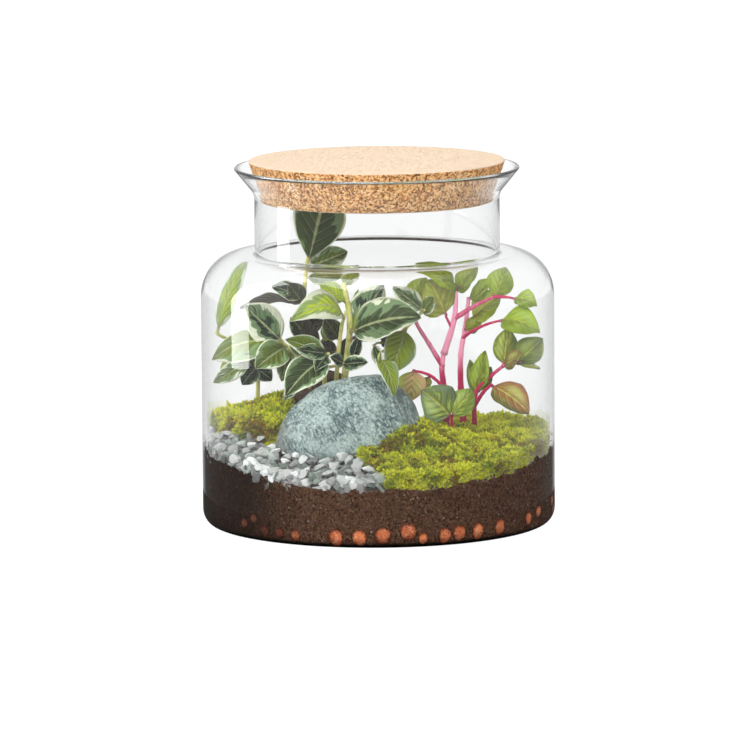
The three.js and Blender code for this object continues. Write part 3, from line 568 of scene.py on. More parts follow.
def smooth_path(points, steps):
    """A Catmull-Rom curve through the points: each stretch blends four neighbours by cubic weights."""
    points = np.asarray(points, dtype=float)
    padded = np.vstack([2 * points[0] - points[1], points, 2 * points[-1] - points[-2]])
    t = np.linspace(0, 1, steps, endpoint=False)[:, None]
    stretches = []
    for a, b, c, d in zip(padded, padded[1:], padded[2:], padded[3:]):
        curve = 2 * b + (c - a) * t + (2 * a - 5 * b + 4 * c - d) * t ** 2 + (3 * b - a - 3 * c + d) * t ** 3
        stretches.append(0.5 * curve)
    return np.vstack(stretches + [points[-1:]])


def new_piece(name, shape, material, nodes, smooth=True):
    """Makes a mesh of a shape in millimetres, with its values as attributes, that stands for some nodes."""
    points, faces, values = shape
    mesh = bpy.data.meshes.new(name)
    mesh.from_pydata((points * MM).tolist(), [], [face for group in faces for face in group.tolist()])
    for key, value in values.items():
        mesh.attributes.new(key, "FLOAT", "POINT").data.foreach_set("value", value.astype(np.float32))
    mesh.polygons.foreach_set("use_smooth", np.full(len(mesh.polygons), smooth))
    mesh.update()
    if mesh.validate():
        raise RuntimeError(f"the mesh of {name} had faults")
    mesh.materials.append(material)
    piece = bpy.data.objects.new(name, mesh)
    bpy.context.scene.collection.objects.link(piece)
    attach(piece, "root")
    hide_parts(*nodes)
    return piece


# Materials

class Value:
    """A socket of a material's nodes, so that shader maths reads as an expression."""

    def __init__(self, paint, socket):
        self.paint = paint
        self.socket = socket

    def __add__(self, other):
        return self.paint.maths("ADD", self, other)

    def __sub__(self, other):
        return self.paint.maths("SUBTRACT", self, other)

    def __rsub__(self, other):
        return self.paint.maths("SUBTRACT", other, self)

    def __mul__(self, other):
        return self.paint.maths("MULTIPLY", self, other)

    def __pow__(self, other):
        return self.paint.maths("POWER", self, other)

    def __abs__(self):
        return self.paint.maths("ABSOLUTE", self)

    __radd__ = __add__
    __rmul__ = __mul__

    def step(self, low, high):
        """0 below low, 1 above high, and smooth between them; with low above high, the other way round."""
        settings = {"interpolation_type": "SMOOTHSTEP"}
        if low < high:
            return self.paint.node("ShaderNodeMapRange", settings, {0: self, 1: low, 2: high})
        return 1 - self.paint.node("ShaderNodeMapRange", settings, {0: self, 1: high, 2: low})


class Nodes:
    """A node tree: node adds any node, with its settings and sockets, and the rest are short ways to some."""

    def __init__(self, tree):
        self.tree = tree

    def feed(self, socket, value):
        if isinstance(value, Value):
            self.tree.links.new(value.socket, socket)
        elif np.size(value) == 3 and len(socket.default_value) == 4:
            socket.default_value = (*value, 1)
        else:
            socket.default_value = value

    def node(self, kind, settings=None, sockets=None, output=0):
        node = self.tree.nodes.new(kind)
        for name, value in (settings or {}).items():
            setattr(node, name, value)
        for key, value in (sockets or {}).items():
            self.feed(node.inputs[key], value)
        return Value(self, node.outputs[output])

    def maths(self, operation, *values):
        return self.node("ShaderNodeMath", {"operation": operation}, dict(enumerate(values)))

    def mix(self, share, first, second):
        return self.node("ShaderNodeMix", {"data_type": "RGBA"}, {0: share, 6: first, 7: second}, 2)

    def coats(self, colour, *coats):
        """A colour under coats, each given as its share and its colour."""
        for share, coat in coats:
            colour = self.mix(share, colour, coat)
        return colour

    def axes(self, vector):
        split = self.node("ShaderNodeSeparateXYZ", sockets={0: vector}).socket.node
        return [Value(self, socket) for socket in split.outputs]

    def vector(self, x, y, z):
        return self.node("ShaderNodeCombineXYZ", sockets={0: x, 1: y, 2: z})

    def stretched(self, vector, scale):
        return self.node("ShaderNodeVectorMath", {"operation": "MULTIPLY"}, {0: vector, 1: scale})


class Paint(Nodes):
    """A material, with the patterns that its colours are made of."""

    def __init__(self, name, **shader_values):
        self.material = bpy.data.materials.new(name)
        self.material.use_nodes = True
        super().__init__(self.material.node_tree)
        self.shader = self.tree.nodes["Principled BSDF"]
        self.output = self.tree.nodes["Material Output"]
        self.set(**shader_values)

    def set(self, **values):
        """Feeds the main shader's sockets, named with _ for a space."""
        for name, value in values.items():
            self.feed(self.shader.inputs[name.replace("_", " ")], value)

    def place(self):
        return self.node("ShaderNodeTexCoord", output="Object")

    def value(self, name):
        """A value that the mesh holds for each point."""
        return self.node("ShaderNodeAttribute", {"attribute_name": name}, output="Fac")

    def noise(self, size, vector=None, detail=3.0, roughness=0.5):
        """Noise around 0.5 with blots of that size, in millimetres where no vector is given."""
        scale = 1 / (size * MM) if vector is None else 1 / size
        sockets = {"Vector": vector or self.place(), "Scale": scale, "Detail": detail, "Roughness": roughness}
        return self.node("ShaderNodeTexNoise", sockets=sockets)

    def cells(self, size, vector=None, output="Distance", feature="F1"):
        """Cells of that size in millimetres: the distance to a cell's middle or edge, or its own colour."""
        sockets = {"Vector": vector or self.place(), "Scale": 1 / (size * MM)}
        return self.node("ShaderNodeTexVoronoi", {"feature": feature}, sockets, output)

    def cell_draw(self, size, vector=None):
        """A draw between 0 and 1 for each cell."""
        colour = self.cells(size, vector, "Color")
        return self.node("ShaderNodeSeparateColor", sockets={0: colour})

    def relief(self, height, depth, strength=1.0):
        """Bumps of that depth, in millimetres, where height goes from 0 to 1."""
        sockets = {"Strength": strength, "Distance": depth * MM, "Height": height}
        self.set(Normal=self.node("ShaderNodeBump", sockets=sockets))

    def blend(self, share, first, second):
        """Ends the tree in two shaders mixed by a share."""
        mixed = self.node("ShaderNodeMixShader", sockets={0: share, 1: first, 2: second})
        self.tree.links.new(mixed.socket, self.output.inputs["Surface"])

    def main(self):
        return Value(self, self.shader.outputs[0])

    def let_through(self, share, colour):
        """Lets a share of the light through, in that colour."""
        self.blend(share, self.main(), self.node("ShaderNodeBsdfTranslucent", sockets={"Color": colour}))


def glass_paint(jar):
    """Clear glass that greys where it is seen edge on, is dark green at its foot and lets light through."""
    paint = Paint("jar_glass", Transmission_Weight=1.0, IOR=1.46, Roughness=0.0)
    facing = paint.node("ShaderNodeLayerWeight", sockets={"Blend": 0.5}, output="Facing")
    height = paint.axes(paint.place())[2]
    edge = paint.mix(facing ** 5, jar.tint, jar.edge)
    paint.set(Base_Color=paint.mix(height.step(2.6 * MM, 0.8 * MM), edge, jar.foot))
    shadow = paint.node("ShaderNodeLightPath", output="Is Shadow Ray")
    clear = paint.node("ShaderNodeBsdfTransparent", sockets={"Color": (0.95, 0.97, 0.96)})
    paint.blend(shadow, paint.main(), clear)
    return paint.material


def cork_paint(jar):
    """Pressed cork granules, pale, tan and dark, with pits between them, under a pale sanded top."""
    paint = Paint("cork", Roughness=0.85, Specular_IOR_Level=0.15)
    height = paint.axes(paint.place())[2]
    granule, fine, dark = paint.cell_draw(1.5), paint.cell_draw(0.75), paint.cell_draw(0.9)
    pit = paint.noise(1.1, detail=3.0, roughness=0.7).step(0.55, 0.6)
    speck = paint.noise(0.8, detail=2.0).step(0.64, 0.7)
    side = paint.coats(
        jar.cork_side,
        (granule * 0.6 + fine * 0.4, light(255, 212, 152)),
        (fine.step(0.84, 0.9) * 0.8, light(250, 216, 172)),
        (dark.step(0.36, 0.26) * 0.8, light(158, 98, 54)),
        (pit * 0.9, jar.cork_pit),
    )
    face = paint.coats(
        jar.cork_face,
        (granule * 0.3 + fine * 0.2, light(246, 214, 176)),
        (speck * 0.45, light(206, 150, 104)),
    )
    sanded = height.step((LID_TOP - 0.7) * MM, (LID_TOP - 0.25) * MM)
    sanded = sanded + height.step((LID_BOTTOM + 0.5) * MM, LID_BOTTOM * MM)
    paint.set(Base_Color=paint.mix(sanded, side, face))
    paint.relief((1 - pit) + 0.4 * fine, 0.35)
    return paint.material


def clay_paint(bed):
    """Fired clay: paler dust, dark pores, clinging soil crumbs, and painted shade at the cap's rim and lower
    side.
    """
    paint = Paint("fired_clay", Roughness=0.9, Specular_IOR_Level=0.2)
    cap, rise = paint.value("cap"), paint.value("rise")
    dust = paint.noise(2.2, detail=4.0).step(0.48, 0.62)
    pores = paint.noise(0.7, detail=3.0, roughness=0.7).step(0.46, 0.4)
    crumbs = paint.noise(1.0, detail=4.0, roughness=0.75)
    # Soil crumbs at the cap's rim; the mask also follows cap and rise, so it is partly painted shade.
    edge = cap + (crumbs - 0.5) * 3.2 + rise * 0.25
    # Balls towards the left of the jar are darker.
    left = paint.axes(paint.place())[0].step(-22 * MM, -50 * MM)
    paint.set(Base_Color=paint.coats(
        bed.ball,
        (paint.value("tone"), light(206, 112, 74)),
        (dust * 0.7, light(240, 172, 130)),
        (pores * 0.7, light(116, 54, 38)),
        # Painted shade: each ball darkens towards the rim of its flattened cap and on its lower side.
        (cap.step(0.85, 0.1) * 0.85, light(96, 38, 22)),
        (rise.step(0.1, -0.8) * 0.6, light(84, 34, 22)),
        (crumbs.step(0.6, 0.64) * 0.85, bed.soil),
        (edge.step(0.4, 0.1) * 0.94, light(54, 32, 24)),
        (left * 0.84, light(40, 20, 18)),
    ))
    paint.relief(paint.noise(0.8, detail=5.0), 0.35)
    return paint.material


def soil_paint(bed):
    """Damp potting soil: crumbs in several browns, dark gaps, tan flecks of bark and a few white grains."""
    paint = Paint("potting_soil", Roughness=0.95, Specular_IOR_Level=0.08)
    x, _, z = paint.axes(paint.place())
    crumb, fine = paint.cell_draw(1.2), paint.cell_draw(0.7)
    patch = paint.noise(16.0, detail=2.0)
    gap = paint.noise(1.3, detail=3.0, roughness=0.7)
    bark, grain = paint.cell_draw(0.55), paint.cell_draw(0.62)
    paint.set(Base_Color=paint.coats(
        bed.soil,
        (crumb * 0.6 + fine * 0.4, light(104, 78, 64)),
        (gap.step(0.5, 0.38) * 0.85, light(34, 22, 16)),
        (patch.step(0.5, 0.68) * 0.35, light(92, 72, 62)),
        (bark.step(0.86, 0.96) * 0.22, bed.soil_speck),
        (grain.step(0.992, 0.996) * 0.3, light(222, 212, 204)),
        # Darker towards the left of the jar.
        (x.step(-30 * MM, -62 * MM) * 0.8, light(24, 17, 14)),
        # Painted shade: the lowest few millimetres of soil darken to a dark green.
        (z.step(3.4 * MM, 1.6 * MM) * 0.9, light(8, 22, 16)),
    ))
    paint.relief(gap, 0.7)
    return paint.material


def stone_paint(bed):
    """A blue-green stone: mottled grains, slanting dark lines, and streaks on its right-hand face."""
    paint = Paint("boulder", Roughness=0.6, Specular_IOR_Level=0.2)
    x, y, z = paint.axes(paint.place())
    slant = paint.vector(x + z * 0.7, y, z - x * 0.7)
    mottle = paint.noise(1.0, paint.stretched(slant, (560, 460, 300)), detail=6.0, roughness=0.62)
    lines = abs(paint.noise(1.0, paint.stretched(slant, (260, 160, 55)), detail=5.0, roughness=0.6) - 0.5)
    streak = paint.noise(1.0, paint.stretched(paint.vector(x + z * 0.3, y, z), (900, 300, 40)), detail=5.0)
    patch = paint.noise(13.0, detail=2.0)
    grain = paint.noise(0.8, detail=3.0, roughness=0.7)
    speckle = paint.noise(1.15, detail=6.0, roughness=0.72)
    tone = speckle * 0.4 + mottle * 0.35 + patch * 0.25
    right = (x + z * 0.32).step(25 * MM, 28 * MM)
    rim = (x + z * 0.1).step(-34 * MM, -42 * MM)
    # Painted shade: the stone darkens towards its foot.
    low = z.step(46 * MM, 28 * MM)
    paint.set(Base_Color=paint.coats(
        bed.stone_dark,
        (tone.step(0.41, 0.57), bed.stone_light),
        (lines.step(0.035, 0.008) * patch.step(0.64, 0.44), light(64, 82, 86)),
        (right * (streak.step(0.42, 0.6) * 0.7 + 0.2), light(86, 100, 98)),
        (right * streak.step(0.42, 0.34) * 0.5, light(170, 184, 178)),
        (speckle.step(0.57, 0.64) * 0.75, light(218, 230, 226)),
        (speckle.step(0.42, 0.34) * 0.7, light(66, 84, 86)),
        (rim * 0.6, light(118, 116, 108)),
        (low * 0.5, light(88, 102, 102)),
    ))
    paint.relief(mottle * 0.5 + grain * 0.3 + lines * 1.5, 0.7)
    return paint.material


def gravel_paint():
    """Worn pebbles from white to slate green, each its own tone, some in painted shade, streaked and dusty.
    """
    paint = Paint("gravel", Roughness=0.6, Specular_IOR_Level=0.25)
    vein = paint.noise(2.2, detail=5.0, roughness=0.65)
    paint.set(Base_Color=paint.coats(
        light(40, 42, 38),
        (paint.value("tone"), light(250, 250, 250)),
        (paint.value("green") * 0.7, light(120, 140, 126)),
        (vein.step(0.54, 0.64) * 0.35, light(96, 104, 100)),
        (vein.step(0.42, 0.3) * 0.3, light(240, 240, 240)),
        # Painted shade: the sheet under the pebbles, dark so that the gaps between them look shaded.
        (paint.value("bed"), light(44, 38, 32)),
    ))
    paint.relief(paint.noise(1.0, detail=4.0), 0.3)
    return paint.material


def moss_paint(bed):
    """Moss: dark sprig feet, partly painted shade, lit yellow-green tips, and dry and deep-green patches."""
    paint = Paint("moss", Roughness=0.9, Specular_IOR_Level=0.02)
    tone = paint.value("tone")
    patch = paint.noise(10.0, detail=3.0)
    tips = paint.coats(
        light(66, 86, 6),
        (tone, bed.moss_lit),
        (patch.step(0.56, 0.7) * 0.5, light(214, 180, 30)),
        (patch.step(0.46, 0.36) * 0.5, light(110, 160, 0)),
        (tone.step(0.05, 0.0) * 0.8, light(150, 92, 30)),
    )
    # Partly painted shade: each sprig darkens towards its foot by its tip value.
    paint.set(Base_Color=paint.mix(paint.value("tip"), bed.moss_deep, tips))
    paint.let_through(0.32, light(236, 240, 60))
    return paint.material


def leaf_relief(paint, ribs, out):
    """Raises a leaf between its side veins and sinks its midrib."""
    paint.relief(ribs * (1 - ribs) * (1 - out * out) * 3.0 + out.step(0.0, 0.12) * 0.6, 1.0)


def marbled_paint(plant):
    """Marbled leaf: a dark middle that breaks up along the side veins into grey green and cream margins."""
    paint = Paint("marbled_leaf", Roughness=0.42, Specular_IOR_Level=0.16)
    along, across = paint.value("along"), paint.value("across")
    lit, mark, brown = paint.value("lit"), paint.value("mark"), paint.value("brown")
    woody, seed = paint.value("stem"), paint.value("seed")
    out = abs(across)
    side = across.step(-0.01, 0.01) * 5.0
    vein_line = along - out * 0.34
    ribs = paint.maths("FRACT", vein_line * 7.0)
    rib = ribs.step(0.1, 0.0) * (1 - out)
    feather = paint.noise(1.0, paint.vector(vein_line * 9.0 + side, out * 1.6, seed * 31.0), detail=2.5)
    blot = paint.noise(1.0, paint.vector(along * 3.2 + side, out * 1.5, seed * 53.0), detail=1.0)
    edge = out + (feather - 0.5) * 1.2 + (blot - 0.5) * 1.5 + mark * 0.85
    # Painted light: the more lit a leaf, the paler its grey green and the more lime its blade.
    grey = paint.mix(lit * 0.6, plant.middle, light(176, 200, 96))
    back = paint.mix(feather, plant.underside, light(66, 58, 34))
    blade = paint.coats(
        plant.dark,
        (lit, plant.lime),
        (edge.step(0.78, 0.84), grey),
        (edge.step(1.2, 1.28), plant.cream),
        # Painted shade: one half of the blade darker, as if turned from the light, less so on lit leaves.
        (across.step(-0.03, 0.03) * (1 - lit) * 0.3, light(24, 44, 20)),
        (out.step(0.9, 0.95), plant.cream),
        (rib * 0.4, plant.cream),
        (out.step(0.09, 0.03) * 0.6, light(206, 216, 160)),
        (brown, back),
    )
    stalk = paint.coats(
        plant.petiole,
        (paint.noise(4.0).step(0.45, 0.65), light(186, 190, 84)),
        (brown, light(222, 150, 104)),
    )
    paint.set(Base_Color=paint.mix(woody, blade, stalk))
    leaf_relief(paint, ribs, out)
    paint.let_through(lit * 0.22, light(130, 160, 70))
    return paint.material


def pink_paint(plant):
    """Glossy green leaf with pale veins, rust and painted highlights, on crimson stems with pale pink
    streaks.
    """
    paint = Paint("pink_plant", Roughness=0.36, Specular_IOR_Level=0.22)
    along, across = paint.value("along"), paint.value("across")
    lit, mark, brown = paint.value("lit") ** 0.8, paint.value("mark"), paint.value("brown")
    woody, seed = paint.value("stem"), paint.value("seed")
    out = abs(across)
    ribs = paint.maths("FRACT", (along - out * 0.42) * 5.0 + seed)
    rib = ribs.step(0.13, 0.02) * out.step(0.95, 0.5)
    blot = paint.noise(1.0, paint.vector(along * 3.0, across * 2.0, seed * 41.0), detail=3.0)
    # Painted light: the more lit a leaf, the more lime its blade and blots, and the paler its rust.
    deep = paint.mix(lit, light(40, 62, 30), light(104, 150, 24))
    rust = paint.mix(lit, plant.rust, light(246, 170, 160))
    rusty = mark * (blot * 0.9 + 0.35) * (1 - across.step(0.1, 0.9) * 0.8)
    # Painted highlight: a sheen along the middle of one half of the blade.
    sheen = abs(across + 0.45).step(0.4, 0.05) * abs(along - 0.55).step(0.36, 0.08)
    blade = paint.coats(
        plant.olive,
        (lit, plant.lime),
        ((1 - out.step(0.2, 0.9)) * 0.25, light(186, 206, 20)),
        (blot.step(0.5, 0.7) * 0.45, deep),
        (brown * blot.step(0.36, 0.6), light(176, 196, 164)),
        # Painted shade: one half of the blade darker, as if turned from the light.
        (across.step(-0.04, 0.04) * 0.42, light(40, 62, 14)),
        # Painted highlight: pale yellow-green blots where the blade catches the light.
        (blot.step(0.47, 0.37) * 0.5, light(206, 226, 110)),
        (rusty, rust),
        (sheen * 0.5, light(214, 234, 130)),
        (rib * 0.65, plant.vein),
        (out.step(0.1, 0.03) * 0.75, plant.vein),
    )
    place = paint.place()
    height = paint.axes(place)[2]
    streak = paint.noise(1.0, paint.stretched(place, (900, 900, 90)), detail=3.0)
    pale = paint.value("pale") * height.step(60 * MM, 82 * MM) + (streak - 0.5) * 0.9
    stalk = paint.coats(
        plant.crimson,
        (pale.step(0.1, 0.8), plant.pink),
        (height.step(56 * MM, 40 * MM) * 0.4, light(130, 44, 44)),
    )
    paint.set(Base_Color=paint.mix(woody, blade, stalk))
    leaf_relief(paint, ribs, out)
    paint.let_through(lit * (1 - woody) * 0.38, light(196, 224, 20))
    return paint.material


# The jar and its lid

def jar_profile():
    """Radius and height from under the foot, up the outside, over the rim and down the inside."""
    inner = BODY_RADIUS - BODY_WALL
    corner = BODY_RADIUS - SHOULDER_REACH
    top = SHOULDER_START + SHOULDER_RISE
    neck_inner = NECK_RADIUS - NECK_WALL
    fillet = NECK_FILLET
    foot = [[1, PUNT_HEIGHT], [30, PUNT_HEIGHT], [FOOT_INNER - 4, PUNT_HEIGHT], [FOOT_INNER - 1, 0.3],
            [FOOT_INNER, 0]]
    flare = [[NECK_RADIUS, 140], [NECK_RADIUS, FLARE_START - 3], [NECK_RADIUS + 0.25, FLARE_START - 1],
             [NECK_RADIUS + 1.1, FLARE_START + 1], [RIM_RADIUS - 2.6, RIM_HEIGHT - 4.2],
             [RIM_RADIUS - 0.5, RIM_HEIGHT - 1.6]]
    flare_inside = [[RIM_RADIUS - 3.0, RIM_HEIGHT - 1.9], [neck_inner + 1.6, FLARE_START + 2.2],
                    [neck_inner + 0.4, FLARE_START], [neck_inner, FLARE_START - 2], [neck_inner, 140]]
    return np.vstack([
        foot,
        arc(BODY_RADIUS - HEEL_REACH, HEEL_HEIGHT, HEEL_REACH, HEEL_HEIGHT, -90, 0, 14),
        [[BODY_RADIUS, 40], [BODY_RADIUS, 80]],
        arc(corner, SHOULDER_START, SHOULDER_REACH, SHOULDER_RISE, 0, 90, 28),
        arc(NECK_RADIUS + fillet, top + fillet, fillet, fillet, 270, 180, 10),
        flare,
        arc(RIM_RADIUS - RIM_ROUND, RIM_HEIGHT - RIM_ROUND, RIM_ROUND, RIM_ROUND, -20, 130, 8),
        flare_inside,
        arc(neck_inner + fillet, top - SHOULDER_WALL + fillet, fillet, fillet, 180, 270, 10),
        arc(corner, SHOULDER_START, SHOULDER_REACH - BODY_WALL, SHOULDER_RISE - SHOULDER_WALL, 90, 0, 28),
        [[inner, 80], [inner, 40]],
        arc(inner - HEEL_REACH, FLOOR + HEEL_HEIGHT, HEEL_REACH, HEEL_HEIGHT, 0, -90, 12),
        [[40, FLOOR], [1, FLOOR]],
    ])


def make_jar(jar):
    """The jar's profile turned about its axis, as one closed skin outside and inside."""
    shape = (*loft(turned(jar_profile(), jar.segments)), {})
    return new_piece("clear_jar", shape, glass_paint(jar), ["glass_jar"])


def make_lid(jar):
    """A tapered disc whose surface is pushed in and out by noise, more so at its cut edges."""
    side = np.linspace(0, 1, 22)[:, None]
    edge = 0.5
    radius = LID_BOTTOM_RADIUS + (LID_TOP_RADIUS - LID_BOTTOM_RADIUS) * side
    low, high = LID_BOTTOM + edge, LID_TOP - edge
    profile = np.vstack([
        [[1, LID_BOTTOM], [20, LID_BOTTOM], [40, LID_BOTTOM], [LID_BOTTOM_RADIUS - edge, LID_BOTTOM]],
        np.hstack([radius, low + (high - low) * side]),
        [[LID_TOP_RADIUS - edge, LID_TOP]],
        np.stack([np.linspace(LID_TOP_RADIUS - 1.5, 1, 26), np.full(26, LID_TOP)], axis=-1),
    ])
    rings = turned(profile, 320)
    height = rings[..., 2]
    on_side = smooth_step(LID_TOP, LID_TOP - 0.6, height)[..., None]
    pits = np.minimum(0, noise(rings, 1.6, 3) + 0.25)[..., None]
    grain = noise(rings, 0.9, 7)[..., None]
    rings = rings + outwards_from(0, 0, rings) * on_side * (0.35 * pits + 0.12 * grain - 0.12)
    rings[..., 2] -= 0.05 * (1 + noise(rings, 1.2, 5)) * (height > LID_TOP - 0.1)
    return new_piece("cork_stopper", (*loft(rings), {}), cork_paint(jar), ["cork_lid"])


# What the jar holds

def soil_height(x, y):
    """The soil's surface: lower at the front, a little lower at the back, with two bell-shaped heaps."""
    height = SOIL_BACK - SOIL_FRONT_DROP * (np.maximum(0, -y) / SOIL_REACH) ** 1.3
    height = height - SOIL_BACK_DROP * (np.maximum(0, y) / SOIL_REACH) ** 1.5
    for cx, cy, rise, spread in HEAPS:
        height = height + rise * np.exp(-((x - cx) ** 2 + (y - cy) ** 2) / (2 * spread ** 2))
    return height


def heel_inset(z):
    """How far the foot's rounded heel draws in from the jar's side at each height."""
    low = np.clip((HEEL_HEIGHT - z) / HEEL_HEIGHT, 0, 0.99)
    return HEEL_REACH * (1 - np.sqrt(1 - low ** 2))


def ball_places():
    """Middles and radii of the balls at the glass: the front ones as listed, then a ring of drawn ones."""
    draw = np.random.default_rng(11)
    front = np.array([(math.degrees(math.asin(x / (INSIDE - r))) - 90, r, z) for x, r, z in FRONT_BALLS])
    angles = np.arange(*BALL_RING)
    count = len(angles)
    back = np.stack([angles + 2.4 * draw.random(count), 2.7 + 1.3 * draw.random(count),
                     FLOOR + 3.6 + 2.5 * draw.random(count)], axis=-1)
    angle, radius, height = np.vstack([front, back]).T
    radius = BALL_GROWTH * radius
    height = np.maximum(height - BALL_SETTLING, FLOOR + radius + 0.1)
    reach = AT_GLASS + BALL_CAP - radius - heel_inset(height)
    return polar(reach, np.radians(angle), height), radius


def make_balls(bed):
    """Each ball is a globe pushed in and out by noise, its outer cap pressed flat against the glass."""
    draw = np.random.default_rng(12)
    sphere = globe(20, 30)
    shapes = []
    for place, radius in zip(*ball_places()):
        spread = sphere @ random_turn(draw).T
        bulge = 1 + 0.07 * noise(spread * radius + place, 2.2, 4)
        points, faces = loft(place + spread * (radius * bulge)[..., None])
        limit = AT_GLASS + draw.uniform(0.05, 0.3) - heel_inset(points[:, 2])
        over = np.hypot(points[:, 0], points[:, 1]) - limit
        # cap and rise steer the clay's painted shade.
        values = {"tone": draw.random(), "cap": np.clip(over / BALL_CAP, 0, 1),
                  "rise": loft_values(spread[..., 2])}
        shapes.append((held_in(points, limit), faces, values))
    return new_piece("clay_ball_layer", joined(shapes), clay_paint(bed), ["clay_balls"])


def make_soil(bed):
    """Rings up the wall and over the top, roughened by noise.

    The wall bites a hair into the glass, so that the glass looks wet there.
    """
    angle = full_circle(560)
    edge = polar(INSIDE, angle, 0)
    top = soil_height(edge[:, 0], edge[:, 1]) - 0.5 + 1.6 * rough(edge, 6.0, 25)
    z = SOIL_BOTTOM + (top - SOIL_BOTTOM) * np.linspace(0, 1, 34)[:, None] ** 1.5
    rings = polar(AT_GLASS - heel_inset(z), angle, z)
    over = polar(INSIDE * np.linspace(0.985, 0.02, 44)[:, None], angle, 0)
    over[..., 2] = soil_height(over[..., 0], over[..., 1])
    over[..., 2] += 0.9 * rough(over, 3.2, 31) - 0.4
    under = np.stack([rings[0] * [s, s, 1] for s in (0.03, 0.5, 0.97)])
    shape = (*loft(np.concatenate([under, rings, over])), {})
    return new_piece("soil_layer", shape, soil_paint(bed), ["soil"])


def make_root_ball(bed):
    """The plug of soil and roots that the tall plants stand in: a turned profile roughened by noise."""
    x, y, radius, bottom, top = (ROOT_BALL[key] for key in ("x", "y", "radius", "bottom", "top"))
    profile = np.vstack([
        [[0.5, bottom], [0.8 * radius, bottom], [0.9 * radius, bottom + 6]],
        np.stack([np.linspace(0.95, 1, 20) * radius, np.linspace(bottom + 12, top - 9, 20)], axis=-1),
        np.stack([np.linspace(0.97, 0.05, 16) * radius, top - 9 * np.linspace(1, 0, 16) ** 1.8], axis=-1),
    ])
    rings = turned(profile, 110) + [x, y, 0]
    rings = rings + outwards_from(x, y, rings) * (0.9 * rough(rings, 3.0, 41) - 0.9)[..., None]
    shapes = [(*loft(rings), {})]
    draw = np.random.default_rng(44)
    for _ in range(ROOTS):
        start = draw.uniform(0, 2 * np.pi)
        angles = start + np.cumsum(draw.normal(0, 0.14, 6))
        heights = draw.uniform(48, 67) - np.cumsum(draw.uniform(0.6, 3.2, 6))
        reach = radius * 0.965 - 0.4 + 0.5 * draw.random(6)
        root = polar(reach, angles, heights) + [x, y, 0]
        shapes.append((*loft(tube_rings(root, 0.16, 5, 4)), {}))
    return new_piece("root_plug", joined(shapes), soil_paint(bed), ["root_ball"])


def make_stone(bed):
    """A worn boulder: unequal half-axes times a unit globe, thinned at its upper left, its face creased."""
    unit_globe = globe(110, 170)
    ux, uy, uz = np.moveaxis(unit_globe, -1, 0)
    reach = np.where(ux < 0, STONE["left"], STONE["right"])
    rise = np.where(uz < 0, STONE["down"], STONE["up"])
    worn = 1 - 0.1 * np.maximum(0, -ux) * np.maximum(0, uz)
    lump = 1 + 0.015 * np.sin(5 * ux + 2) * np.cos(4 * uy + 3 * uz)
    points = np.stack([STONE["x"] + ux * reach * worn * lump, STONE["y"] + uy * STONE["depth"] * lump,
                       STONE["z"] + uz * rise * worn * lump], axis=-1)
    crease = (points[..., 0] + 0.32 * (points[..., 2] - 76)) / 1.6
    depth = 0.9 * np.exp(-crease ** 2) * smooth_step(-0.1, -0.5, uy)
    depth = depth + 0.55 * rough(points, 9.0, 51, 4) + 0.1 * noise(points, 1.2, 57) + 0.45
    shape = (*loft(points - unit_globe * depth[..., None]), {})
    return new_piece("round_stone", shape, stone_paint(bed), ["stone"])


def inside_outline(outline, x, y):
    """Whether points lie inside an outline: an odd number of its sides crosses the line from each to +x."""
    ax, ay = outline.T
    bx, by = np.roll(outline, -1, axis=0).T
    above = (ay > y[:, None]) != (by > y[:, None])
    slope = np.where(by == ay, 1, by - ay)
    crossing = x[:, None] < (bx - ax) * (y[:, None] - ay) / slope + ax
    return (above & crossing).sum(axis=1) % 2 == 1


def along_glass(inset, start, end, steps, inner):
    """An outline that follows the glass between two angles and comes back along the inner points."""
    radius = INSIDE - inset
    return np.vstack([arc(0, 0, radius, radius, start, end, steps), inner])


def spread_places(outline, count, spacing, draw):
    """Random places inside an outline that keep a spacing from each other."""
    low, high = outline.min(axis=0), outline.max(axis=0)
    tries = draw.uniform(low, high, (count * 30, 2))
    tries = tries[inside_outline(outline, *tries.T)]
    kept = np.empty((0, 2))
    for place in tries:
        if len(kept) == count:
            break
        if not len(kept) or np.hypot(*(kept - place).T).min() > spacing:
            kept = np.vstack([kept, place])
    return kept


def worn_globe(draw, sphere):
    """A globe with six flats: where it reaches past a cut, most of that reach is taken off."""
    cuts = unit(draw.normal(size=(6, 3)))
    for cut, keep in zip(cuts, draw.uniform(0.3, 0.6, 6)):
        sphere = sphere - 0.95 * np.maximum(0, sphere @ cut - keep)[..., None] * cut
    return sphere


def shade_sheet_under_gravel(outline):
    """A dark sheet of painted shade under the pebbles: rings from the outline to its middle, just over the
    soil.
    """
    middle = outline.mean(axis=0)
    x, y = np.moveaxis(middle + np.linspace(1, 0.02, 30)[:, None, None] * (outline - middle), -1, 0)
    top = np.stack([x, y, soil_height(x, y) + 0.9], axis=-1)
    return (*loft(np.concatenate([top[:1] - [0, 0, 2], top])), {"tone": 0.2, "green": 0.0, "bed": 1.0})


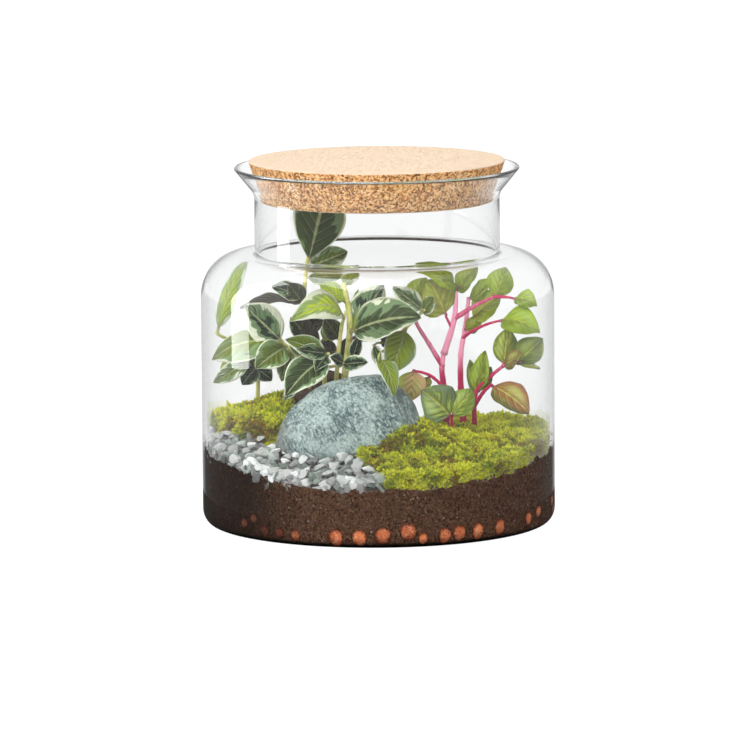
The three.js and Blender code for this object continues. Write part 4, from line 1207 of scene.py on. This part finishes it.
def make_gravel(bed):
    """Two layers of pebbles over the soil and a row pressed against the glass.

    Each pebble is a worn globe times three half-axes, turned so that it lies flat.
    """
    draw = np.random.default_rng(5)
    size = bed.pebble_size / MM
    outline = along_glass(0.5, *GRAVEL_GLASS, GRAVEL_INNER)
    lower = spread_places(outline, LOWER_PEBBLES, LOWER_SPACING * size, draw)
    upper = spread_places(outline, UPPER_PEBBLES, UPPER_SPACING * size, draw)
    angle = np.radians(draw.uniform(*RIM_ANGLES, RIM_PEBBLES))
    reach = AT_GLASS - 0.4 * size * draw.uniform(0.7, 1.3, RIM_PEBBLES)
    rim = polar(reach, angle, 0)[:, :2]
    places = np.vstack([lower, upper, rim])
    rim_lift = draw.uniform(*RIM_LIFT, RIM_PEBBLES)
    lower_lift = draw.uniform(*LOWER_LIFT, len(lower))
    upper_lift = draw.uniform(*UPPER_LIFT, len(upper))
    height = soil_height(*places.T) + np.concatenate([lower_lift, upper_lift, rim_lift])
    # Painted shade: the lower layer, and the deeper pebbles at the glass, are darkened.
    unshaded = np.concatenate([np.full(len(lower), 0.2), np.ones(len(upper)), smooth_step(-3, 2.5, rim_lift)])
    bite = draw.uniform(0.05, 0.5, len(places))
    up = draw.normal(0, 0.45, (len(places), 3)) + [0, -0.25, 1]
    leaning_out = np.column_stack([rim, np.full(RIM_PEBBLES, 30)]) / INSIDE
    up[-RIM_PEBBLES:] = leaning_out + draw.normal(0, 0.3, (RIM_PEBBLES, 3))
    aside = draw.normal(size=up.shape)
    aside[-RIM_PEBBLES:] = aside[-RIM_PEBBLES:] * 0.5 + [0, 0, 1]
    sphere = globe(5, 9)
    shapes = []
    for (x, y), z, unshaded_share, sunk, turn in zip(places, height, unshaded, bite, standing(up, aside)):
        worn = worn_globe(draw, sphere)
        axes = size * draw.uniform((0.55, 0.46, 0.32), (1.0, 0.72, 0.5))
        # Painted shade: darker by layer, and towards the far left of the jar.
        shade = (0.2 + 0.8 * unshaded_share) * (0.7 + 0.3 * smooth_step(-78, -55, x))
        values = {"tone": (0.12 + 0.88 * draw.beta(1.15, 0.8)) * shade,
                  "green": max(0.0, draw.uniform(-1.0, 1.0)), "bed": 0.0}
        points, faces = loft((worn * axes) @ turn.T + [x, y, z])
        shapes.append((held_in(points, AT_GLASS + sunk), faces, values))
    shapes.append(shade_sheet_under_gravel(outline))
    pebbles = new_piece("pebbles", joined(shapes), gravel_paint(), ["gravel"])
    pebbles.data.set_sharp_from_angle(angle=math.radians(24))
    return pebbles


def moss_top(x, y, depth):
    """The cushion's surface: the soil's, raised by its depth, with soft lumps."""
    place = level(x, y)
    return soil_height(x, y) + depth - 0.6 + 1.2 * noise(place, 9.0, 71) + 1.5 * noise(place, 3.4, 73)


def sprig():
    """A moss sprig one unit high: six pointed leaves that spread from a stem, as two triangles each."""
    points, faces, tips = [], [], []
    for i in range(6):
        angle = 2.4 * i
        away = np.array([math.cos(angle), math.sin(angle), (0.1, 0.7, 0.3, 1.0, 0.15, 0.5)[i]])
        aside = np.array([-math.sin(angle), math.cos(angle), 0]) * 0.2
        foot = np.array([0, 0, 0.09 * i])
        points += [foot, foot + away * 0.28 + aside, foot + away * 0.6, foot + away * 0.28 - aside]
        faces += [[4 * i, 4 * i + 1, 4 * i + 2], [4 * i, 4 * i + 2, 4 * i + 3]]
        # The tip values darken each leaf towards the stem, partly as painted shade.
        tips += [0.0, 0.6, 1.0, 0.6]
    return np.array(points), [np.array(faces)], np.array(tips)


def moss_body(cushion, outline):
    """The lumpy body under the sprigs: rings from its foot up its sides and over its top to the middle."""
    middle = np.array([*cushion["middle"], 0])
    corners = zip(outline, np.roll(outline, -1, axis=0))
    fine = np.vstack([np.linspace(start, end, 4, endpoint=False) for start, end in corners])
    share = np.linspace(1, 0.02, 28)[:, None, None]
    x, y = np.moveaxis(middle[:2] + share * (fine - middle[:2]), -1, 0)
    lumps = 0.8 * noise(level(x, y), 1.8, 75)
    top = np.stack([x, y, moss_top(x, y, cushion["depth"]) - 1.6 + lumps], axis=-1)
    soil = soil_height(x[0], y[0])
    side = np.stack([np.stack([x[0], y[0], soil + lift], axis=-1) for lift in (-3.0, 0.5, 2.5)])
    floor = side[:1] * [0, 0, 1] + middle + 0.05 * (side[:1] - middle) * [1, 1, 0]
    points, faces = loft(np.concatenate([floor, side, top]))
    # A low tip value paints the body dark under the sprigs, partly as painted shade.
    return held_in(points, INSIDE - CUSHION_INSET), faces, {"tip": 0.1, "tone": 0.3}


def sprig_places(draw, cushion, outline, tall):
    """Feet of the sprigs on top, in clumps, then of those up the sides, and the way that each side looks."""
    count, depth = cushion["sprigs"], cushion["depth"]
    places = draw.uniform(outline.min(axis=0), outline.max(axis=0), (4 * count, 2))
    places = places[inside_outline(outline, *places.T)]
    places = places[noise(level(*places.T), 1.9, 76) > -0.16][:count]
    turf = np.column_stack([places, moss_top(*places.T, depth) - 1.4])

    sides = np.roll(outline, -1, axis=0) - outline
    lengths = np.linalg.norm(sides, axis=1)
    edge_count = int(SPRIGS_PER_EDGE_MM * lengths.sum())
    chosen = draw.choice(len(outline), edge_count, p=lengths / lengths.sum())
    along = sides[chosen] / lengths[chosen, None]
    outwards = np.stack([along[:, 1], -along[:, 0]], axis=-1)
    inset = tall * draw.uniform(0.25, 0.55, edge_count)
    edge = outline[chosen] + sides[chosen] * draw.random((edge_count, 1)) - outwards * inset[:, None]
    bottom = soil_height(*edge.T) - 1.6
    height = bottom + (moss_top(*edge.T, depth) - bottom) * draw.random(edge_count)
    return turf, np.column_stack([edge, height]), outwards


def make_moss(bed, cushion):
    """A lumpy cushion under a dense stand of sprigs, those at the glass pressed flat against it."""
    draw = np.random.default_rng(cushion["seed"])
    outline = along_glass(0.6, *cushion["glass"], cushion["inner"])
    tall = bed.sprig_height / MM
    turf, edge, outwards = sprig_places(draw, cushion, outline, tall)
    places = np.vstack([turf, edge])
    total = len(places)
    spin = draw.uniform(0, 2 * np.pi, total)
    up = np.column_stack([draw.normal(0, 0.65, (total, 2)), np.ones(total)])
    up[len(turf):, :2] += 1.3 * outwards
    size = tall * draw.uniform(0.65, 1.35, total) * cushion["tallness"]
    turns = standing(up, polar(1, spin, 0)) * size[:, None, None]
    points, faces, tips = sprig()
    sprig_points, sprig_faces = copies(points, faces, turns, places)
    # Painted shade and light: darker in the hollows of moss_top's lumps, lighter on them; plus clumps at
    # random.
    hollow_shade_and_clumps = 1.7 * noise(places * [1, 1, 0], 3.4, 73) + 1.5 * noise(places, 1.9, 79)
    tone = np.clip(draw.normal(0.8, 0.25, total) + hollow_shade_and_clumps, 0, 1)
    bite = np.repeat(draw.uniform(-0.1, 0.3, total), len(points))
    values = {"tip": np.tile(tips, total), "tone": np.repeat(tone, len(points))}
    stand = (held_in(sprig_points, AT_GLASS + bite), sprig_faces, values)
    shape = joined([moss_body(cushion, outline), stand])
    name = cushion["node"].replace("moss", "moss_cushion")
    return new_piece(name, shape, moss_paint(bed), [cushion["node"]], smooth=False)


# The plants

def leaf_width(along, blunt):
    """How wide a leaf is along its length: 0 on the petiole and 1 at its widest.

    It is along to one power times the rest of the way to another; a blunt leaf is widest near its tip.
    """
    share = np.clip((along - 0.09) / 0.91, 0, 1)
    rise, fall = 0.62 + 0.5 * blunt, 0.85 - 0.45 * blunt
    widest = rise / (rise + fall)
    return share ** rise * (1 - share) ** fall / (widest ** rise * (1 - widest) ** fall)


def leaf_shape(base, tip, width, face, lit, mark, arch=0.0, fold=0.15, brown=0.0, blunt=0.0, seed=0.0):
    """A blade as flat rings from base to tip.

    A point lies at base + along * t + across * half-width * v. It is lifted by an arch along t, by a fold
    that raises the margins and by a ripple, and sunk by a groove along the midrib. The blade thins towards
    its margins.
    """
    base, tip = np.array(base, dtype=float), np.array(tip, dtype=float)
    run = tip - base
    length = np.linalg.norm(run)
    ahead = run / length
    across = unit(np.cross(ahead, face))
    up = np.cross(across, ahead)
    even = np.linspace(0, 1, LEAF_ROWS)
    t = (0.35 * (0.5 - 0.5 * np.cos(np.pi * even)) + 0.65 * even)[:, None]
    v = np.linspace(-1, 1, LEAF_COLUMNS)
    half = 0.5 * (width * leaf_width(t, blunt) + 1.3 * (1 - t) + 0.25)
    ripple = LEAF_WAVE * v * np.sin(9 * t + 2 * v + 6 * seed) + 0.012 * np.sin(24 * t + 9 * seed) * v ** 2
    lift = 4 * arch * length * t * (1 - t) + fold * half * np.abs(v) ** 1.3 + width * ripple
    groove = 0.22 * np.exp(-(v * half / 0.7) ** 2)
    stalk = smooth_step(0.14, 0.03, t)
    thick = 0.5 * ((0.42 + 0.9 * stalk) * np.sqrt(np.maximum(0, 1 - v ** 2)) + 0.12)
    middle = base + run * t[..., None] + across * (half * v)[..., None]
    upper = middle + up * (lift + thick - groove * (1 - stalk))[..., None]
    lower = middle + up * (lift - thick - groove * (1 - stalk))[..., None]
    rings = np.concatenate([upper, lower[:, ::-1]], axis=1)
    varying = {"along": t, "across": np.concatenate([v, v[::-1]]), "stem": stalk}
    values = {name: loft_values(np.broadcast_to(value, rings.shape[:2])) for name, value in varying.items()}
    return (*loft(rings), {**values, "lit": lit, "mark": mark, "brown": brown, "seed": seed, "pale": 0.5})


def tube_rings(path, radius, around, steps):
    """Round rings along a smooth path, square to it, that narrow towards its end and swell at its joints."""
    curve = smooth_path(path, steps)
    ahead = unit(np.gradient(curve, axis=0))
    span = np.array(path[-1], dtype=float) - np.array(path[0], dtype=float)
    first = unit(np.cross(ahead, np.eye(3)[np.argmin(np.abs(span))]))
    second = np.cross(ahead, first)
    share = np.linspace(0, 1, len(curve))
    joint = 1 + 0.12 * np.cos(2 * np.pi * share * (len(path) - 1)) ** 8
    size = radius * (1 - (1 - STEM_TAPER) * share) * joint
    angle = full_circle(around)[:, None]
    spread = first[:, None] * np.cos(angle) + second[:, None] * np.sin(angle)
    return curve[:, None] + spread * size[:, None, None]


def make_plant(name, plant, paint):
    """A plant's stems as tubes and its leaves as blades, in one mesh."""
    draw = np.random.default_rng(len(name) + 7 * len(plant["leaves"]))
    shapes = []
    for radius, path in plant["stems"]:
        values = dict.fromkeys(("along", "across", "lit", "mark", "brown", "seed"), 0.0)
        values |= {"stem": 1.0, "pale": min(1.0, max(0.15, 1.4 * radius - 1.2))}
        shapes.append((*loft(tube_rings(path, radius, 12, 7)), values))
    shapes += [leaf_shape(**shape, seed=draw.random()) for shape in plant["leaves"]]
    return new_piece(name.replace("stem", "plant"), joined(shapes), paint, [name])


# The studio

def studio_light(name, size, place, power, mirrored, aim=LIGHT_AIM):
    """A soft rectangle of light, unseen itself: the glass mirrors it, or else it lights all the rest."""
    lamp = bpy.data.lights.new(name, "AREA")
    lamp.shape = "RECTANGLE"
    lamp.size, lamp.size_y = size
    lamp.energy = power
    holder = bpy.data.objects.new(name, lamp)
    holder.location = place
    holder.rotation_euler = (Vector(aim) - Vector(place)).to_track_quat("-Z", "Y").to_euler()
    holder.visible_camera = False
    holder.visible_transmission = False
    holder.visible_glossy = mirrored
    holder.visible_diffuse = not mirrored
    bpy.context.scene.collection.objects.link(holder)


def stage_face(name, corners, paint, unseen_by):
    """A flat face of the stage that the named kinds of ray pass through."""
    mesh = bpy.data.meshes.new(name)
    mesh.from_pydata(corners, [], [list(range(len(corners)))])
    mesh.materials.append(paint.material)
    face = bpy.data.objects.new(name, mesh)
    for ray in unseen_by:
        setattr(face, f"visible_{ray}", False)
    bpy.context.scene.collection.objects.link(face)


def make_floor(studio):
    """A white floor that fills the view."""
    corners = [(FLOOR_HALF * x, FLOOR_HALF * y, 0) for x, y in ((-1, -1), (1, -1), (1, 1), (-1, 1))]
    paint = Paint("floor", Base_Color=(0.05, 0.05, 0.05), Roughness=0.9, Emission_Color=(1, 1, 1),
                  Emission_Strength=studio.floor_glow)
    stage_face("floor", corners, paint, ("glossy", "diffuse"))


def make_dark_ground():
    """A dark disc under the jar: a painted shadow that only mirrored light meets, so the foot mirrors no
    bright floor.
    """
    corners = polar(1, full_circle(48), -0.004) * DARK_GROUND_RADIUS
    paint = Paint("dark_ground", Base_Color=(0.01, 0.012, 0.01), Roughness=1.0)
    stage_face("dark_ground", corners.tolist(), paint, ("camera", "diffuse", "transmission", "shadow"))


def make_room(studio):
    """A room that is light but for a band which the upright glass mirrors, half lit at the back."""
    world = bpy.data.worlds.new("room")
    world.use_nodes = True
    background = world.node_tree.nodes["Background"]
    room = Nodes(world.node_tree)
    y, z = room.axes(room.node("ShaderNodeTexCoord", output="Generated"))[1:]
    bright = room.maths("MAXIMUM", z.step(-0.08, -0.01) + z.step(-0.2, -0.3), y.step(0.9, 0.99) * 0.5)
    strength = studio.room_light + bright * (studio.ceiling_light - studio.room_light)
    room.feed(background.inputs["Strength"], strength)
    room.feed(background.inputs["Color"], (1, 1, 1))
    bpy.context.scene.world = world


def make_camera(studio):
    """The camera at the photo's angle: tipped down by its pitch, then rolled about its line of sight."""
    camera = bpy.data.objects.new("camera", bpy.data.cameras.new("camera"))
    camera.data.lens = studio.lens
    camera.data.sensor_width = 36
    camera.data.clip_end = 20
    sight = Vector((0, math.cos(studio.pitch), -math.sin(studio.pitch)))
    turn = Matrix.Rotation(math.pi / 2 - studio.pitch, 4, "X") @ Matrix.Rotation(studio.roll, 4, "Z")
    camera.matrix_world = Matrix.Translation(Vector(CAMERA_AIM) - sight * studio.distance) @ turn
    bpy.context.scene.collection.objects.link(camera)
    bpy.context.scene.camera = camera


def make_stage(studio):
    """The floor, the room, the lights and the camera."""
    make_floor(studio)
    make_dark_ground()
    make_room(studio)
    studio_light("key_light", (0.6, 0.6), (-0.5, -1.1, 0.9), studio.key_power, False)
    studio_light("top_box", (0.9, 0.5), (-0.15, -0.05, 1.0), studio.top_power, True)
    studio_light("left_box", (0.15, 0.75), (-0.502, 0.038, 0.39), studio.side_power, True, LEFT_LIGHT_AIM)
    make_camera(studio)
    scene = bpy.context.scene
    scene.view_settings.view_transform = "Standard"
    scene.cycles.glossy_bounces = 16
    scene.cycles.transmission_bounces = 16
    scene.cycles.max_bounces = 24


# Operators and panel

class TERRARIUM_OT_stage(bpy.types.Operator):
    """Add the floor, the lights and the camera"""
    bl_idname = "terrarium.stage"
    bl_label = "Stage"

    def execute(self, context):
        make_stage(context.scene.terrarium_studio)
        return {"FINISHED"}


class TERRARIUM_OT_jar(bpy.types.Operator):
    """Add the glass jar"""
    bl_idname = "terrarium.jar"
    bl_label = "Glass jar"

    def execute(self, context):
        make_jar(context.scene.terrarium_jar)
        return {"FINISHED"}


class TERRARIUM_OT_lid(bpy.types.Operator):
    """Add the cork lid"""
    bl_idname = "terrarium.lid"
    bl_label = "Cork lid"

    def execute(self, context):
        make_lid(context.scene.terrarium_jar)
        return {"FINISHED"}


class TERRARIUM_OT_balls(bpy.types.Operator):
    """Add the clay balls"""
    bl_idname = "terrarium.balls"
    bl_label = "Clay balls"

    def execute(self, context):
        make_balls(context.scene.terrarium_bed)
        return {"FINISHED"}


class TERRARIUM_OT_soil(bpy.types.Operator):
    """Add the soil and the root ball"""
    bl_idname = "terrarium.soil"
    bl_label = "Soil"

    def execute(self, context):
        make_soil(context.scene.terrarium_bed)
        make_root_ball(context.scene.terrarium_bed)
        return {"FINISHED"}


class TERRARIUM_OT_stone(bpy.types.Operator):
    """Add the stone"""
    bl_idname = "terrarium.stone"
    bl_label = "Stone"

    def execute(self, context):
        make_stone(context.scene.terrarium_bed)
        return {"FINISHED"}


class TERRARIUM_OT_gravel(bpy.types.Operator):
    """Add the gravel"""
    bl_idname = "terrarium.gravel"
    bl_label = "Gravel"

    def execute(self, context):
        make_gravel(context.scene.terrarium_bed)
        return {"FINISHED"}


class TERRARIUM_OT_moss(bpy.types.Operator):
    """Add the two moss cushions"""
    bl_idname = "terrarium.moss"
    bl_label = "Moss"

    def execute(self, context):
        make_moss(context.scene.terrarium_bed, MOSS_RIGHT)
        make_moss(context.scene.terrarium_bed, MOSS_LEFT)
        return {"FINISHED"}


class TERRARIUM_OT_marbled_plants(bpy.types.Operator):
    """Add the marbled plants"""
    bl_idname = "terrarium.marbled_plants"
    bl_label = "Marbled plants"

    def execute(self, context):
        paint = marbled_paint(context.scene.terrarium_plants)
        for name, plant in MARBLED_PLANTS.items():
            make_plant(name, plant, paint)
        return {"FINISHED"}


class TERRARIUM_OT_pink_plants(bpy.types.Operator):
    """Add the pink-stemmed plants"""
    bl_idname = "terrarium.pink_plants"
    bl_label = "Pink plants"

    def execute(self, context):
        paint = pink_paint(context.scene.terrarium_plants)
        for name, plant in PINK_PLANTS.items():
            make_plant(name, plant, paint)
        return {"FINISHED"}


SETTINGS = {
    "terrarium_jar": JarSettings,
    "terrarium_bed": BedSettings,
    "terrarium_plants": PlantSettings,
    "terrarium_studio": StudioSettings,
}
OPERATORS = (
    TERRARIUM_OT_stage, TERRARIUM_OT_jar, TERRARIUM_OT_lid, TERRARIUM_OT_balls, TERRARIUM_OT_soil,
    TERRARIUM_OT_stone, TERRARIUM_OT_gravel, TERRARIUM_OT_moss, TERRARIUM_OT_marbled_plants,
    TERRARIUM_OT_pink_plants,
)


class TERRARIUM_PT_panel(bpy.types.Panel):
    """Settings and steps of the terrarium"""
    bl_idname = "TERRARIUM_PT_panel"
    bl_label = "Plant Terrarium"
    bl_space_type = "VIEW_3D"
    bl_region_type = "UI"
    bl_category = "Terrarium"

    def draw(self, context):
        for name in SETTINGS:
            settings = getattr(context.scene, name)
            box = self.layout.box()
            for key in settings.__annotations__:
                box.prop(settings, key)
        for operator in OPERATORS:
            self.layout.operator(operator.bl_idname)


def register():
    for group in (*SETTINGS.values(), *OPERATORS, TERRARIUM_PT_panel):
        bpy.utils.register_class(group)
    for name, group in SETTINGS.items():
        setattr(bpy.types.Scene, name, bpy.props.PointerProperty(type=group))


def unregister():
    for name in SETTINGS:
        delattr(bpy.types.Scene, name)
    for group in (TERRARIUM_PT_panel, *reversed(OPERATORS), *SETTINGS.values()):
        bpy.utils.unregister_class(group)


def main():
    register()
    for operator in OPERATORS:
        family, name = operator.bl_idname.split(".")
        getattr(getattr(bpy.ops, family), name)()


if __name__ == "__main__":
    main()
